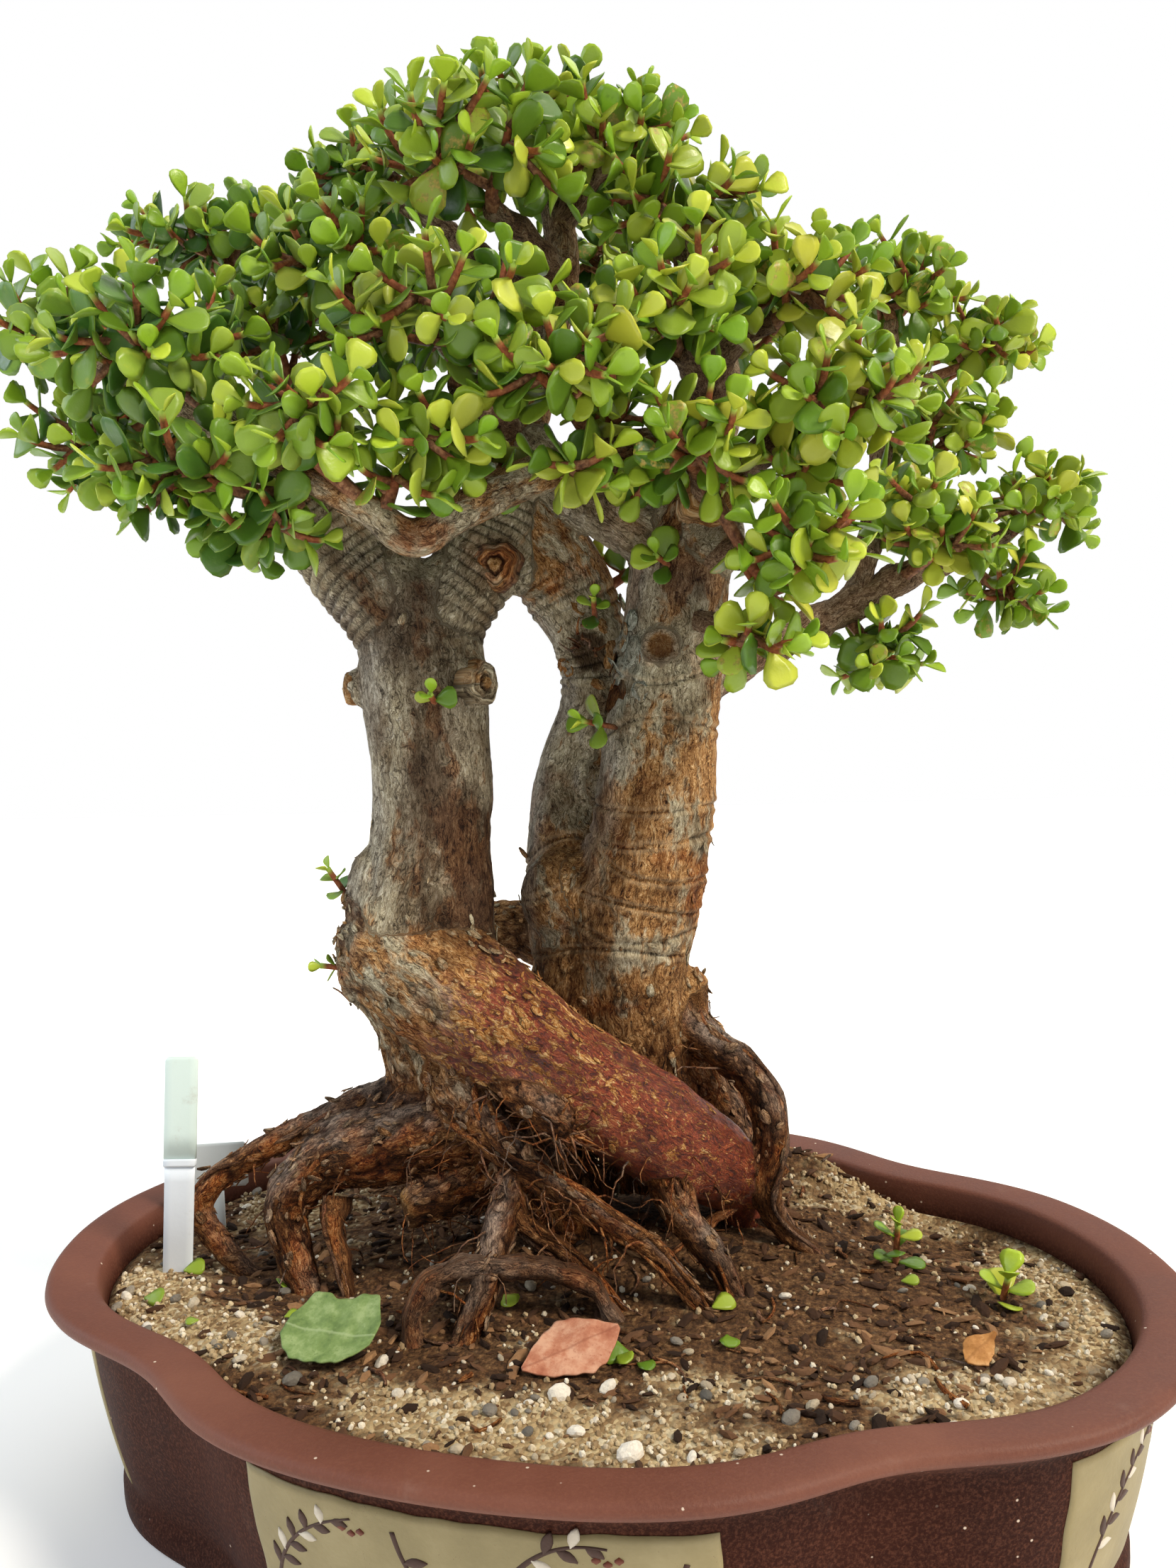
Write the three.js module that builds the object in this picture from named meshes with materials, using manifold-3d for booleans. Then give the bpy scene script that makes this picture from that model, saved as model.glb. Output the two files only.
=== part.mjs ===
// A dwarf jade bonsai: two fused trunks on a flare of bare roots, growing in a four-lobed stoneware tray.
// Millimetres, +Z up. The origin is the centre of the tray's underside, X runs along its long side.
// The tree is one piece of wood with a leafy spray seated on each limb. Every neighbour keeps a seat of 0.3 mm.
import * as THREE from "three";
import { mergeVertices } from "three/addons/utils/BufferGeometryUtils.js";
import Module from "manifold-3d";

const wasm = await Module();
wasm.setup();

// Driving sizes of the tray.
const POT_HEIGHT = 92;
const MOUTH_HALF = { x: 205, y: 137 }; // inner edge of the rim
const LOBE_NOTCH = { at: THREE.MathUtils.degToRad(53), depth: 0.08, width: 0.225 };
const RIM_REACH = 20; // rim's outer edge, beyond the mouth
const FLOOR = 9;
const OUTLINE_POINTS = 38;
const DRAIN = { x: 95, radius: 7, channelWidth: 12, channelDepth: 4 };
const SEAT = 0.3; // gap between pieces that touch
const FACET = { bark: 0.45, seat: 0.1, soil: 0.35 }; // how far facets may stray from the true surface

// Driving sizes of the leaves and twigs.
const LEAF = { length: 18, width: 14.5, thickness: 2 };
const TWIG = { branchlet: 3.4, base: 2.1, tip: 1.5, node: 2 }; // radii, and the length that a pair of leaves grows from
const BUD = 0.6; // bare twig beyond its last pair of leaves
const FORK = 0.4; // share of the first twig's length at which the others leave it
const PAIR_SPACING = 9;
const GOLDEN = { u: 0.7548776662, v: 0.569840291 }; // steps of an even two-dimensional sequence
const ROOM_FOR_LEAF = 11; // a twig stops this far inside its spray's outline

const BARK = new THREE.MeshStandardMaterial({ color: 0x8d7358, roughness: 0.9, metalness: 0 });
const LEAVES = new THREE.MeshStandardMaterial({ color: 0x6f9a34, roughness: 0.45, metalness: 0 });
const STONEWARE = new THREE.MeshStandardMaterial({ color: 0x6b4236, roughness: 0.6, metalness: 0 });
const SOIL = new THREE.MeshStandardMaterial({ color: 0x7d6a55, roughness: 1, metalness: 0 });
const PLASTIC = new THREE.MeshStandardMaterial({ color: 0xdce8ee, roughness: 0.35, metalness: 0 });
const DRY_GREEN = new THREE.MeshStandardMaterial({ color: 0x7f9a4c, roughness: 0.7, metalness: 0 });
const DRY_RED = new THREE.MeshStandardMaterial({ color: 0xb97058, roughness: 0.7, metalness: 0 });

// Each limb is a row of [x, y, z, radius] stations.
const LIMBS = {
  leftTrunk: [
    [-60, 15, 138, 30], [-66, 10, 180, 32], [-70, 8, 210, 33], [-67, 13, 250, 28], [-65, 18, 290, 26],
    [-67, 21, 330, 27], [-69, 20, 366, 22],
  ],
  leftForkOuter: [
    [-70, 20, 348, 23], [-80, 17, 362, 21], [-94, 14, 378, 19], [-105, 10, 396, 17], [-117, 2, 414, 14],
    [-134, -12, 430, 11], [-157, -26, 446, 8], [-186, -30, 460, 6],
  ],
  leftForkInner: [[-66, 21, 343, 23], [-58, 24, 355, 21], [-50, 32, 369, 18], [-42, 43, 385, 17], [-35, 53, 406, 15]],
  crossingRoot: [
    [-76, 4, 216, 25], [-46, -6, 194, 26], [-17, -5, 174, 23], [12, 5, 150, 21], [37, 19, 129, 20],
    [55, 37, 112, 16], [64, 50, 92, 10], [66, 54, 76, 5],
  ],
  rightTrunk: [
    [22, 52, 104, 28], [14, 54, 150, 23], [9, 53, 186, 25], [12, 52, 220, 28], [22, 52, 262, 26],
    [27, 55, 304, 24], [35, 58, 342, 21], [42, 58, 376, 19.5], [50, 59, 412, 14.5], [53, 57, 444, 9],
  ],
  backTrunk: [
    [-4, 57, 180, 22], [-9, 60, 212, 29], [-22, 66, 246, 21], [-25, 71, 276, 16.5], [-14, 76, 315, 15],
    [-12, 75, 342, 18], [-26, 66, 381, 19], [-36, 57, 402, 17], [-34, 57, 431, 14], [-23, 62, 469, 11],
    [-12, 64, 510, 8], [-17, 54, 548, 4.5],
  ],
  lowBulge: [[-10, 48, 150, 18], [-8, 52, 178, 25], [2, 54, 206, 24]],
  frontBranch: [
    [44, 52, 409, 12], [35, 34, 414, 9], [17, 13, 409, 8], [-1, -4, 400, 8], [-20, -23, 386, 7.5],
    [-38, -37, 374, 7.5], [-52, -45, 383, 6], [-73, -48, 389, 5], [-94, -51, 391, 4],
  ],
  bridgeLimb: [[43, 59, 371, 16], [26, 52, 382, 14], [2, 53, 398, 13], [-19, 55, 414, 13], [-34, 57, 430, 13]],
  rightBackLimb: [
    [36, 66, 290, 15], [51, 92, 312, 12], [74, 120, 331, 10], [103, 141, 353, 9], [132, 161, 370, 7.5],
    [160, 176, 382, 6], [180, 187, 390, 4.5],
  ],
  rightBackStem: [[106, 144, 356, 7], [116, 156, 400, 6], [122, 168, 450, 5], [127, 180, 500, 4]],
  topLeftLimb: [[-20, 63, 480, 8], [-55, 70, 520, 6], [-98, 80, 556, 4]],
  leftBackLimb: [[-102, 12, 390, 10], [-130, 36, 440, 7.5], [-162, 50, 496, 5.5], [-176, 54, 520, 4]],
  centreLimb: [[-33, 57, 435, 9], [-35, 22, 432, 6.5], [-30, -14, 428, 5], [-27, -32, 430, 4]],
  midLeftLimb: [[-25, 60, 462, 8], [-50, 26, 470, 6], [-72, -6, 473, 4]],
  topFrontLimb: [[-14, 63, 500, 7], [-18, 32, 508, 5], [-23, 4, 508, 4]],
  topRightLimb: [[-11, 62, 524, 6], [8, 53, 538, 4.5], [22, 46, 544, 3.5]],
  rightTopLimb: [[52, 58, 436, 8], [64, 36, 452, 6], [84, 28, 458, 4]],
  rightFrontUpperLimb: [[52, 58, 438, 7], [50, 30, 446, 5], [48, 12, 446, 4]],
  topRightLowLimb: [[53, 57, 440, 8], [50, 48, 476, 5.5], [45, 40, 500, 4]],
  rightFrontLimb: [[48, 59, 400, 9], [74, 36, 408, 6.5], [96, 16, 411, 4]],
  rightLowLimb: [[42, 58, 374, 8], [68, 28, 368, 5.5], [88, 4, 362, 4]],
  rightLowestLimb: [[36, 58, 348, 6], [58, 28, 340, 4.5], [67, 12, 336, 3.5]],
  rightMidLimb: [[47, 59, 392, 8], [55, 28, 396, 5.5], [57, 4, 396, 4]],
  backLeftLimb: [[-34, 57, 434, 9], [-62, 92, 468, 7], [-92, 112, 500, 4.5]],
  backCentreLimb: [[-23, 62, 470, 8], [-25, 98, 498, 6], [-28, 122, 518, 4]],
  backRightLimb: [[50, 59, 412, 10], [55, 94, 446, 7], [52, 122, 478, 4.5]],
  backLowLimb: [[-44, 40, 382, 9], [-62, 84, 414, 7], [-76, 112, 432, 4.5]],
  leftBackLowLimb: [[-112, 4, 406, 9], [-136, 40, 422, 6], [-154, 66, 432, 4]],
};

const ROOTS = {
  leftLong: [
    [-58, 5, 168, 12], [-86, -6, 154, 8], [-122, -15, 136, 6.5], [-156, -20, 112, 6], [-160, -22, 99, 6],
    [-128, -28, 74, 4],
  ],
  leftThick: [
    [-52, 0, 156, 20], [-77, -12, 143, 15], [-100, -19, 132, 13], [-119, -25, 115, 11], [-103, -35, 74, 7],
  ],
  leftLeg: [[-93, -20, 124, 8], [-96, -28, 106, 5], [-91, -33, 93, 4], [-86, -37, 74, 3]],
  cutStub: [[-33, -3, 125, 13], [-51, -11, 116, 11], [-72, -20, 114, 8]],
  core: [[-52, 14, 150, 30], [-34, 16, 126, 27], [-18, 20, 100, 22], [-10, 24, 76, 16]],
  centreLong: [[-38, -14, 164, 12], [-18, -24, 141, 8], [3, -24, 121, 6], [32, -22, 101, 4.6], [56, -21, 76, 3]],
  peeled: [[-34, -14, 176, 9], [-14, -25, 162, 8], [-1, -25, 149, 5]],
  thin: [[-24, -18, 138, 5], [-15, -31, 114, 3.6], [5, -31, 101, 3], [24, -30, 78, 2.4]],
  frontArch: [
    [24, -33, 76, 3], [9, -38, 98, 4], [-12, -46, 104, 4.3], [-42, -59, 101, 4.3], [-46, -70, 72, 3.6],
  ],
  frontDrop: [[-21, -16, 134, 9], [-22, -40, 114, 7], [-25, -53, 96, 7], [-31, -67, 70, 5]],
  rightLow: [[30, 10, 130, 10], [40, -2, 110, 7], [56, -8, 92, 5.4], [70, -14, 68, 3]],
  thinCross: [[74, 44, 124, 4], [60, 20, 107, 3], [38, -4, 78, 2.2]],
  rightOuter: [
    [22, 62, 196, 12], [39, 65, 173, 9], [58, 61, 149, 8.5], [75, 57, 126, 6.5], [74, 46, 107, 6],
    [88, 31, 88, 4.8], [98, 21, 70, 3],
  ],
  rightBack: [[30, 62, 150, 18], [50, 62, 124, 13], [66, 56, 104, 9], [72, 47, 76, 6]],
  backRight: [[24, 66, 150, 14], [44, 92, 122, 10], [58, 100, 98, 8], [64, 102, 72, 5]],
  backCentre: [[0, 62, 160, 16], [-8, 88, 128, 11], [-14, 104, 100, 8], [-18, 112, 68, 5]],
  backLeft: [[-66, 20, 160, 15], [-82, 46, 134, 10], [-98, 66, 108, 8], [-110, 76, 70, 5]],
};

// Rounded swellings on the bark: [x, y, z, radius].
const BURLS = [[-91, 14, 322, 8], [-42, 12, 322, 9], [-27, 47, 388, 9], [-84, -4, 196, 14]];
const HOLLOW = { at: [-6, 58, 334], radius: 6 }; // a healed wound on the back trunk
const CUT_ENDS = { // pruned stubs: from the wood outwards
  kneeStub: [[-90, 12, 230, 5], [-104, 4, 232, 3.4]],
  slabStub: [[50, 48, 392, 9], [62, 30, 400, 8]],
};

// Each spray: the limb point that it grows from, its centre, its half sizes, and how many twigs it has.
const SPRAYS = {
  top_centre: { from: [-17, 54, 546], centre: [-28, 39, 574], half: [46, 40, 23], twigs: 4 },
  top_front: { from: [-22, 8, 508], centre: [-24, -14, 522], half: [38, 32, 26], twigs: 3 },
  top_right: { from: [20, 47, 543], centre: [27, 43, 556], half: [34, 34, 24], twigs: 3 },
  top_right_low: { from: [45, 40, 498], centre: [46, 34, 512], half: [32, 30, 24], twigs: 3 },
  top_left_back: { from: [-94, 79, 553], centre: [-118, 82, 574], half: [32, 34, 28], twigs: 3 },
  left_back_upper: { from: [-174, 53, 517], centre: [-180, 54, 540], half: [46, 36, 24], twigs: 4 },
  left_far: { from: [-182, -29, 458], centre: [-206, -20, 480], half: [26, 34, 26], twigs: 3 },
  left_front: { from: [-140, -16, 435], centre: [-134, -66, 449], half: [34, 26, 27], twigs: 3 },
  left_low_back: { from: [-150, -21, 441], centre: [-198, -8, 432], half: [34, 36, 26], twigs: 3 },
  left_low_front: { from: [-90, -51, 391], centre: [-124, -64, 402], half: [36, 26, 24], twigs: 3 },
  mid_left: { from: [-70, -4, 473], centre: [-79, -20, 490], half: [32, 28, 27], twigs: 3 },
  centre: { from: [-27, -30, 430], centre: [-28, -48, 452], half: [38, 26, 25], twigs: 3 },
  left_mid_front: { from: [-58, -46, 385], centre: [-70, -72, 413], half: [27, 22, 24], twigs: 3 },
  left_bottom: { from: [-84, -50, 390], centre: [-100, -48, 382], half: [26, 24, 16], twigs: 3 },
  centre_low: { from: [-30, -14, 428], centre: [-32, -50, 408], half: [24, 20, 20], twigs: 3 },
  centre_right_front: { from: [16, 12, 409], centre: [17, -44, 430], half: [29, 22, 20], twigs: 3 },
  centre_small: { from: [8, 4, 405], centre: [16, -26, 398], half: [14, 13, 14], twigs: 1 },
  right_front_upper: { from: [48, 14, 446], centre: [48, -6, 458], half: [33, 26, 26], twigs: 3 },
  right_top: { from: [82, 29, 457], centre: [92, 26, 470], half: [29, 28, 26], twigs: 3 },
  right_front: { from: [94, 18, 411], centre: [108, 8, 420], half: [32, 26, 27], twigs: 3 },
  right_mid: { from: [57, 6, 396], centre: [58, -14, 404], half: [24, 20, 22], twigs: 3 },
  right_low: { from: [86, 6, 362], centre: [97, -6, 367], half: [23, 20, 26], twigs: 3 },
  right_lowest: { from: [66, 13, 336], centre: [75, -4, 333], half: [22, 18, 14], twigs: 2 },
  back_right_upper: { from: [127, 179, 497], centre: [129, 184, 520], half: [33, 28, 26], twigs: 3 },
  back_right_far: { from: [123, 171, 462], centre: [176, 204, 494], half: [33, 28, 28], twigs: 3 },
  back_right_mid: { from: [118, 160, 416], centre: [149, 175, 442], half: [28, 26, 26], twigs: 3 },
  far_right: { from: [178, 186, 389], centre: [198, 196, 407], half: [34, 30, 26], twigs: 3 },
  far_right_mid: { from: [124, 156, 366], centre: [145, 142, 386], half: [30, 26, 24], twigs: 3 },
  far_right_low: { from: [156, 174, 380], centre: [178, 178, 362], half: [21, 20, 20], twigs: 2 },
  right_droop: { from: [103, 141, 350], centre: [119, 140, 334], half: [21, 20, 26], twigs: 2 },
  back_left: { from: [-90, 111, 498], centre: [-108, 124, 514], half: [40, 34, 26], twigs: 3 },
  back_centre: { from: [-28, 120, 516], centre: [-32, 134, 536], half: [40, 32, 26], twigs: 3 },
  back_right: { from: [52, 120, 476], centre: [52, 134, 498], half: [38, 32, 28], twigs: 3 },
  back_low: { from: [-74, 110, 431], centre: [-82, 126, 446], half: [36, 28, 24], twigs: 3 },
  left_back_low: { from: [-152, 64, 431], centre: [-164, 76, 450], half: [32, 30, 24], twigs: 3 },
};

// Small shoots straight out of the bark or the soil: foot, tip and the pairs of leaves on it.
const SHOOTS = {
  shoot_left_trunk: { foot: [-54, 0, 312], tip: [-52, -11, 317], pairs: 1, leaf: 10 },
  shoot_back_trunk: { foot: [14, 40, 300], tip: [1, 20, 304], pairs: 2, leaf: 11 },
  shoot_knee: { foot: [-100, 6, 231], tip: [-107, 0, 246], pairs: 2, leaf: 9 },
  shoot_low_knee: { foot: [-92, -4, 204], tip: [-108, -8, 206], pairs: 1, leaf: 8 },
  shoot_hollow: { foot: [-2, 60, 346], tip: [2, 44, 357], pairs: 2, leaf: 8 },
  shoot_right_trunk: { foot: [38, 42, 366], tip: [34, 24, 370], pairs: 2, leaf: 12 },
  seedling_back: { foot: [120, 34, 74], tip: [120, 33, 103], pairs: 2, leaf: 9 },
  seedling_right: { foot: [158, 14, 70], tip: [159, 12, 96], pairs: 2, leaf: 11 },
};

const vector = (p) => new THREE.Vector3(p[0], p[1], p[2]);
const fraction = (v) => v - Math.floor(v);
const chance = (a, b, c) => fraction(Math.sin(a * 127.1 + b * 311.7 + c * 74.7) * 43758.5453);

// Solids from geometry, and back.
function solidOf(geometry) {
  const bare = geometry.clone();
  bare.deleteAttribute("normal");
  bare.deleteAttribute("uv");
  const merged = mergeVertices(bare, 1e-4);
  const vertProperties = new Float32Array(merged.getAttribute("position").array);
  return new wasm.Manifold(new wasm.Mesh({ numProp: 3, vertProperties, triVerts: new Uint32Array(merged.index.array) }));
}

function geometryOf(solid) {
  const { numProp, numVert, vertProperties, triVerts } = solid.getMesh();
  const positions = new Float32Array(numVert * 3);
  for (let i = 0; i < numVert; i++) positions.set(vertProperties.subarray(i * numProp, i * numProp + 3), i * 3);
  const geometry = new THREE.BufferGeometry();
  geometry.setAttribute("position", new THREE.BufferAttribute(positions, 3));
  geometry.setIndex(new THREE.BufferAttribute(new Uint32Array(triVerts), 1));
  geometry.computeVertexNormals();
  return geometry;
}

// A closed skin over rings of points, with a point in the middle of each end.
function skin(rings, firstMiddle, lastMiddle) {
  const around = rings[0].length;
  const points = [...rings.flat(), firstMiddle, lastMiddle];
  const first = points.length - 2;
  const last = points.length - 1;
  const index = [];
  for (let i = 0; i < around; i++) {
    const j = (i + 1) % around;
    for (let k = 0; k < rings.length - 1; k++) {
      const low = k * around;
      const high = low + around;
      index.push(low + i, low + j, high + j, low + i, high + j, high + i);
    }
    const top = (rings.length - 1) * around;
    index.push(first, j, i, last, top + i, top + j);
  }
  const geometry = new THREE.BufferGeometry().setFromPoints(points);
  geometry.setIndex(index);
  return geometry;
}

// Stations [x, y, z, radius] give a tapered tube along a smooth curve.
function tube(stations, sides, samples, grow = 0) {
  const curve = new THREE.CatmullRomCurve3(stations.map(vector));
  const radii = new THREE.CatmullRomCurve3(stations.map((s, i) => new THREE.Vector3(s[3], i, 0)));
  const side = new THREE.Vector3(0.31, 0.17, 0.93);
  const rings = [];
  for (let k = 0; k <= samples; k++) {
    const t = k / samples;
    const centre = curve.getPoint(t);
    const tangent = curve.getTangent(t);
    side.addScaledVector(tangent, -side.dot(tangent)).normalize();
    const across = new THREE.Vector3().crossVectors(tangent, side);
    const radius = radii.getPoint(t).x + grow;
    const ring = [];
    for (let i = 0; i < sides; i++) {
      const angle = (2 * Math.PI * i) / sides;
      ring.push(
        centre
          .clone()
          .addScaledVector(side, radius * Math.cos(angle))
          .addScaledVector(across, radius * Math.sin(angle)),
      );
    }
    rings.push(ring);
  }
  return solidOf(skin(rings, curve.getPoint(0), curve.getPoint(1)));
}

function limbTube(stations, grow = 0) {
  const widest = Math.max(...stations.map((s) => s[3]));
  const sides = widest > 14 ? 7 : widest > 8.5 ? 5 : 4;
  return tube(stations, sides, stations.length - 1, grow);
}

// The tray: a four-lobed outline carried up a profile.
function lobedOutline(halfX, halfY, count = OUTLINE_POINTS) {
  const points = [];
  for (let i = 0; i < count; i++) {
    const t = (2 * Math.PI * i) / count;
    const fromNotch = Math.atan2(Math.abs(Math.sin(t)), Math.abs(Math.cos(t))) - LOBE_NOTCH.at;
    const pull = 1 - LOBE_NOTCH.depth * Math.exp(-((fromNotch / LOBE_NOTCH.width) ** 2));
    points.push(new THREE.Vector2(halfX * Math.cos(t) * pull, halfY * Math.sin(t) * pull));
  }
  return points;
}

function lobedRing(offset, z) {
  return lobedOutline(MOUTH_HALF.x + offset, MOUTH_HALF.y + offset).map((p) => new THREE.Vector3(p.x, p.y, z));
}

// Profile stations: [offset from the mouth's edge, height].
const POT_OUTSIDE = [
  [-8, 0], [-5, 3], [-5, 9], [-7, 13], [5, 76], [14, 84], [RIM_REACH, 88], [RIM_REACH - 2, POT_HEIGHT],
];
const POT_INSIDE = [[0, POT_HEIGHT], [-16, FLOOR + 6], [-20, FLOOR]];

function drains() {
  const cuts = [];
  for (const side of [-1, 1]) {
    const hole = new THREE.CylinderGeometry(DRAIN.radius, DRAIN.radius, 4 * FLOOR, 12).rotateX(Math.PI / 2);
    const channel = new THREE.BoxGeometry(DRAIN.channelWidth, 3 * MOUTH_HALF.y, 2 * DRAIN.channelDepth);
    cuts.push(solidOf(hole.translate(side * DRAIN.x, 0, 0)), solidOf(channel.translate(side * DRAIN.x, 0, 0)));
  }
  return wasm.Manifold.union(cuts);
}

function pot() {
  const rings = [...POT_OUTSIDE, ...POT_INSIDE].map(([offset, z]) => lobedRing(offset, z));
  const body = solidOf(skin(rings, new THREE.Vector3(0, 0, 0), new THREE.Vector3(0, 0, FLOOR)));
  return body.subtract(drains());
}

// The soil's surface: a mound under the tree, a heap at the back and a dip at the right.
const MOUNDS = [
  { x: -8, y: 30, wideX: 85, wideY: 48, rise: 13 },
  { x: 76, y: 112, wideX: 40, wideY: 24, rise: 13 },
  { x: 150, y: 66, wideX: 42, wideY: 40, rise: -7 },
  { x: -60, y: -70, wideX: 60, wideY: 30, rise: 2 },
];
const SOIL_LEVEL = 81;

function soilHeight(x, y) {
  const bump = (m) => m.rise * Math.exp(-(((x - m.x) / m.wideX) ** 2) - ((y - m.y) / m.wideY) ** 2);
  const ripple = 0.7 * Math.sin(x / 17 + 1.3) * Math.cos(y / 13) + 0.5 * Math.sin((x + 2 * y) / 23);
  return SOIL_LEVEL + ripple + MOUNDS.reduce((sum, m) => sum + bump(m), 0);
}

function soil(holes) {
  const [wallTop, wallLow, floorEdge] = POT_INSIDE;
  const steps = 5;
  const slope = (wallTop[0] - wallLow[0]) / (wallTop[1] - wallLow[1]);
  const rings = [lobedRing(floorEdge[0] - SEAT, floorEdge[1] + SEAT), lobedRing(wallLow[0] - SEAT, wallLow[1])];
  const rimLevel = 78;
  const edge = lobedRing(wallLow[0] + slope * (rimLevel - wallLow[1]) - SEAT, rimLevel);
  for (let k = 0; k < steps; k++) {
    const share = 1 - k / steps;
    rings.push(
      edge.map((p) => {
        const x = p.x * share;
        const y = p.y * share;
        return new THREE.Vector3(x, y, k === 0 ? rimLevel : soilHeight(x, y));
      }),
    );
  }
  const middle = new THREE.Vector3(0, 0, soilHeight(0, 0));
  const body = solidOf(skin(rings, new THREE.Vector3(0, 0, FLOOR + SEAT), middle));
  return body.simplify(FACET.soil).subtract(holes);
}

// The wood, grown a little where it is used to cut a seat.
function wood(grow = 0) {
  const tubes = Object.values({ ...LIMBS, ...ROOTS, ...CUT_ENDS }).map((stations) => limbTube(stations, grow));
  const burls = BURLS.map(([x, y, z, radius]) =>
    solidOf(new THREE.OctahedronGeometry(radius + grow, 1).scale(1, 1, 1.15).translate(x, y, z)),
  );
  const hollow = solidOf(new THREE.OctahedronGeometry(HOLLOW.radius, 1).translate(...HOLLOW.at));
  const whole = wasm.Manifold.union([...tubes, ...burls]);
  return grow ? whole : whole.subtract(hollow);
}

// One leaf grows out of one face of a four-sided twig: a fleshy blade, widest past its middle, with a round tip.
// The base is the face's four corners: lower left and right, then upper right and left.
const BLADE_EDGE = [[0.56, -0.5, 0.02], [0.97, -0.28, 0.1], [0.97, 0.28, 0.1], [0.56, 0.5, 0.02]]; // along, across, lift
const BLADE_FACES = [
  [8, 3, 4], [8, 4, 5], [8, 5, 6], [8, 6, 7], [8, 7, 2], [8, 2, 3],
  [0, 1, 7], [0, 7, 6], [0, 6, 5], [0, 5, 4], [0, 4, 3], [1, 2, 7],
];

function bladePoints(base, leaf, grow = 0) {
  const foot = base.reduce((sum, p) => sum.add(p), new THREE.Vector3()).multiplyScalar(1 / base.length);
  const across = base[1].clone().sub(base[0]).addScaledVector(leaf.along, -base[1].clone().sub(base[0]).dot(leaf.along));
  across.normalize();
  const up = new THREE.Vector3().crossVectors(leaf.along, across);
  const point = (x, y, z) =>
    foot.clone().addScaledVector(leaf.along, x).addScaledVector(across, y).addScaledVector(up, z);
  const length = leaf.size + grow;
  const width = (LEAF.width * leaf.size) / LEAF.length + 2 * grow;
  const corners = base.map((p) => p.clone().addScaledVector(p.clone().sub(foot).normalize(), grow));
  const edge = BLADE_EDGE.map(([x, y, z]) => point(x * length, y * width, z * length - grow));
  return [...corners, ...edge, point(0.5 * length, 0, LEAF.thickness + grow)];
}

function bladeSolid(points) {
  const geometry = new THREE.BufferGeometry().setFromPoints(points);
  geometry.setIndex([...BLADE_FACES.flat(), 0, 2, 1, 0, 3, 2]);
  return solidOf(geometry);
}

// A twig of four flat sides along a curve. Each pair of leaves takes two opposite faces, a quarter turn from the last.
function twigPath(twig) {
  return new THREE.QuadraticBezierCurve3(twig.start, twig.bend, twig.tip);
}

function twigRing(twig, path, t, grow) {
  const tangent = path.getTangent(t);
  const side = vector(twig.side).addScaledVector(tangent, -vector(twig.side).dot(tangent)).normalize();
  const across = new THREE.Vector3().crossVectors(tangent, side);
  const radius = THREE.MathUtils.lerp(twig.radius, TWIG.tip, t) + grow;
  return [0, 1, 2, 3].map((i) => {
    const angle = (i * Math.PI) / 2;
    return path
      .getPoint(t)
      .addScaledVector(side, radius * Math.cos(angle))
      .addScaledVector(across, radius * Math.sin(angle));
  });
}

function twigTube(twig, grow = 0) {
  const path = twigPath(twig);
  const rings = [0, 0.5, 1].map((t) => twigRing(twig, path, t, grow));
  return solidOf(skin(rings, path.getPoint(0), path.getPoint(1)));
}

// The leaves of one twig, by the number of their pair from the tip and the face that they grow out of.
function leavesOf(number, twig, pairs, length) {
  const path = twigPath(twig);
  const run = path.getLength();
  const leaves = [];
  for (let pair = 0; pair < pairs; pair++) {
    const high = 1 - (BUD + pair * PAIR_SPACING) / run;
    const low = high - TWIG.node / run;
    if (low < 0.2) break;
    const rings = [low, high].map((t) => twigRing(twig, path, t, 0));
    const tangent = path.getTangent(high);
    const lean = (pair === 0 ? 0.8 : 1.2) + 0.25 * (chance(number, twig.k, 6 + pair) - 0.5);
    for (const face of [pair % 2, (pair % 2) + 2]) {
      const next = (face + 1) % 4;
      const base = [rings[0][face], rings[0][next], rings[1][next], rings[1][face]];
      const out = rings[0][face].clone().add(rings[0][next]).multiplyScalar(0.5).sub(path.getPoint(low)).normalize();
      const size = length * (pair === 0 ? 0.86 : 1.05) * (0.9 + 0.2 * chance(number, twig.k, 9 + 2 * pair + face));
      const along = out.multiplyScalar(Math.sin(lean)).addScaledVector(tangent, Math.cos(lean));
      leaves.push({ pair, face, low, high, base, along, size });
    }
  }
  return leaves;
}

// One skin over a twig and the leaves that it keeps.
function leafyTwig(twig, leaves) {
  const path = twigPath(twig);
  const fork = twig.k === 0 && leaves.every((leaf) => Math.abs(leaf.low - FORK) > 0.1) ? [FORK] : [];
  const stations = [...new Set([0, ...fork, ...leaves.flatMap((leaf) => [leaf.low, leaf.high]), 1])];
  stations.sort((a, b) => a - b);
  const points = stations.flatMap((t) => twigRing(twig, path, t, 0));
  const index = [];
  for (let k = 0; k < stations.length - 1; k++) {
    for (let face = 0; face < 4; face++) {
      const next = (face + 1) % 4;
      const [low, high] = [4 * k, 4 * k + 4];
      const corners = [low + face, low + next, high + next, high + face];
      const leaf = leaves.find((one) => one.low === stations[k] && one.face === face);
      if (leaf) {
        const first = points.length - 4;
        points.push(...bladePoints(leaf.base, leaf).slice(4));
        index.push(...BLADE_FACES.flat().map((i) => (i < 4 ? corners[i] : first + i)));
      } else {
        index.push(corners[0], corners[1], corners[2], corners[0], corners[2], corners[3]);
      }
    }
  }
  const last = 4 * (stations.length - 1);
  index.push(0, 2, 1, 0, 3, 2, last, last + 1, last + 2, last, last + 2, last + 3);
  const geometry = new THREE.BufferGeometry().setFromPoints(points);
  geometry.setIndex(index);
  return solidOf(geometry);
}

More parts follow.
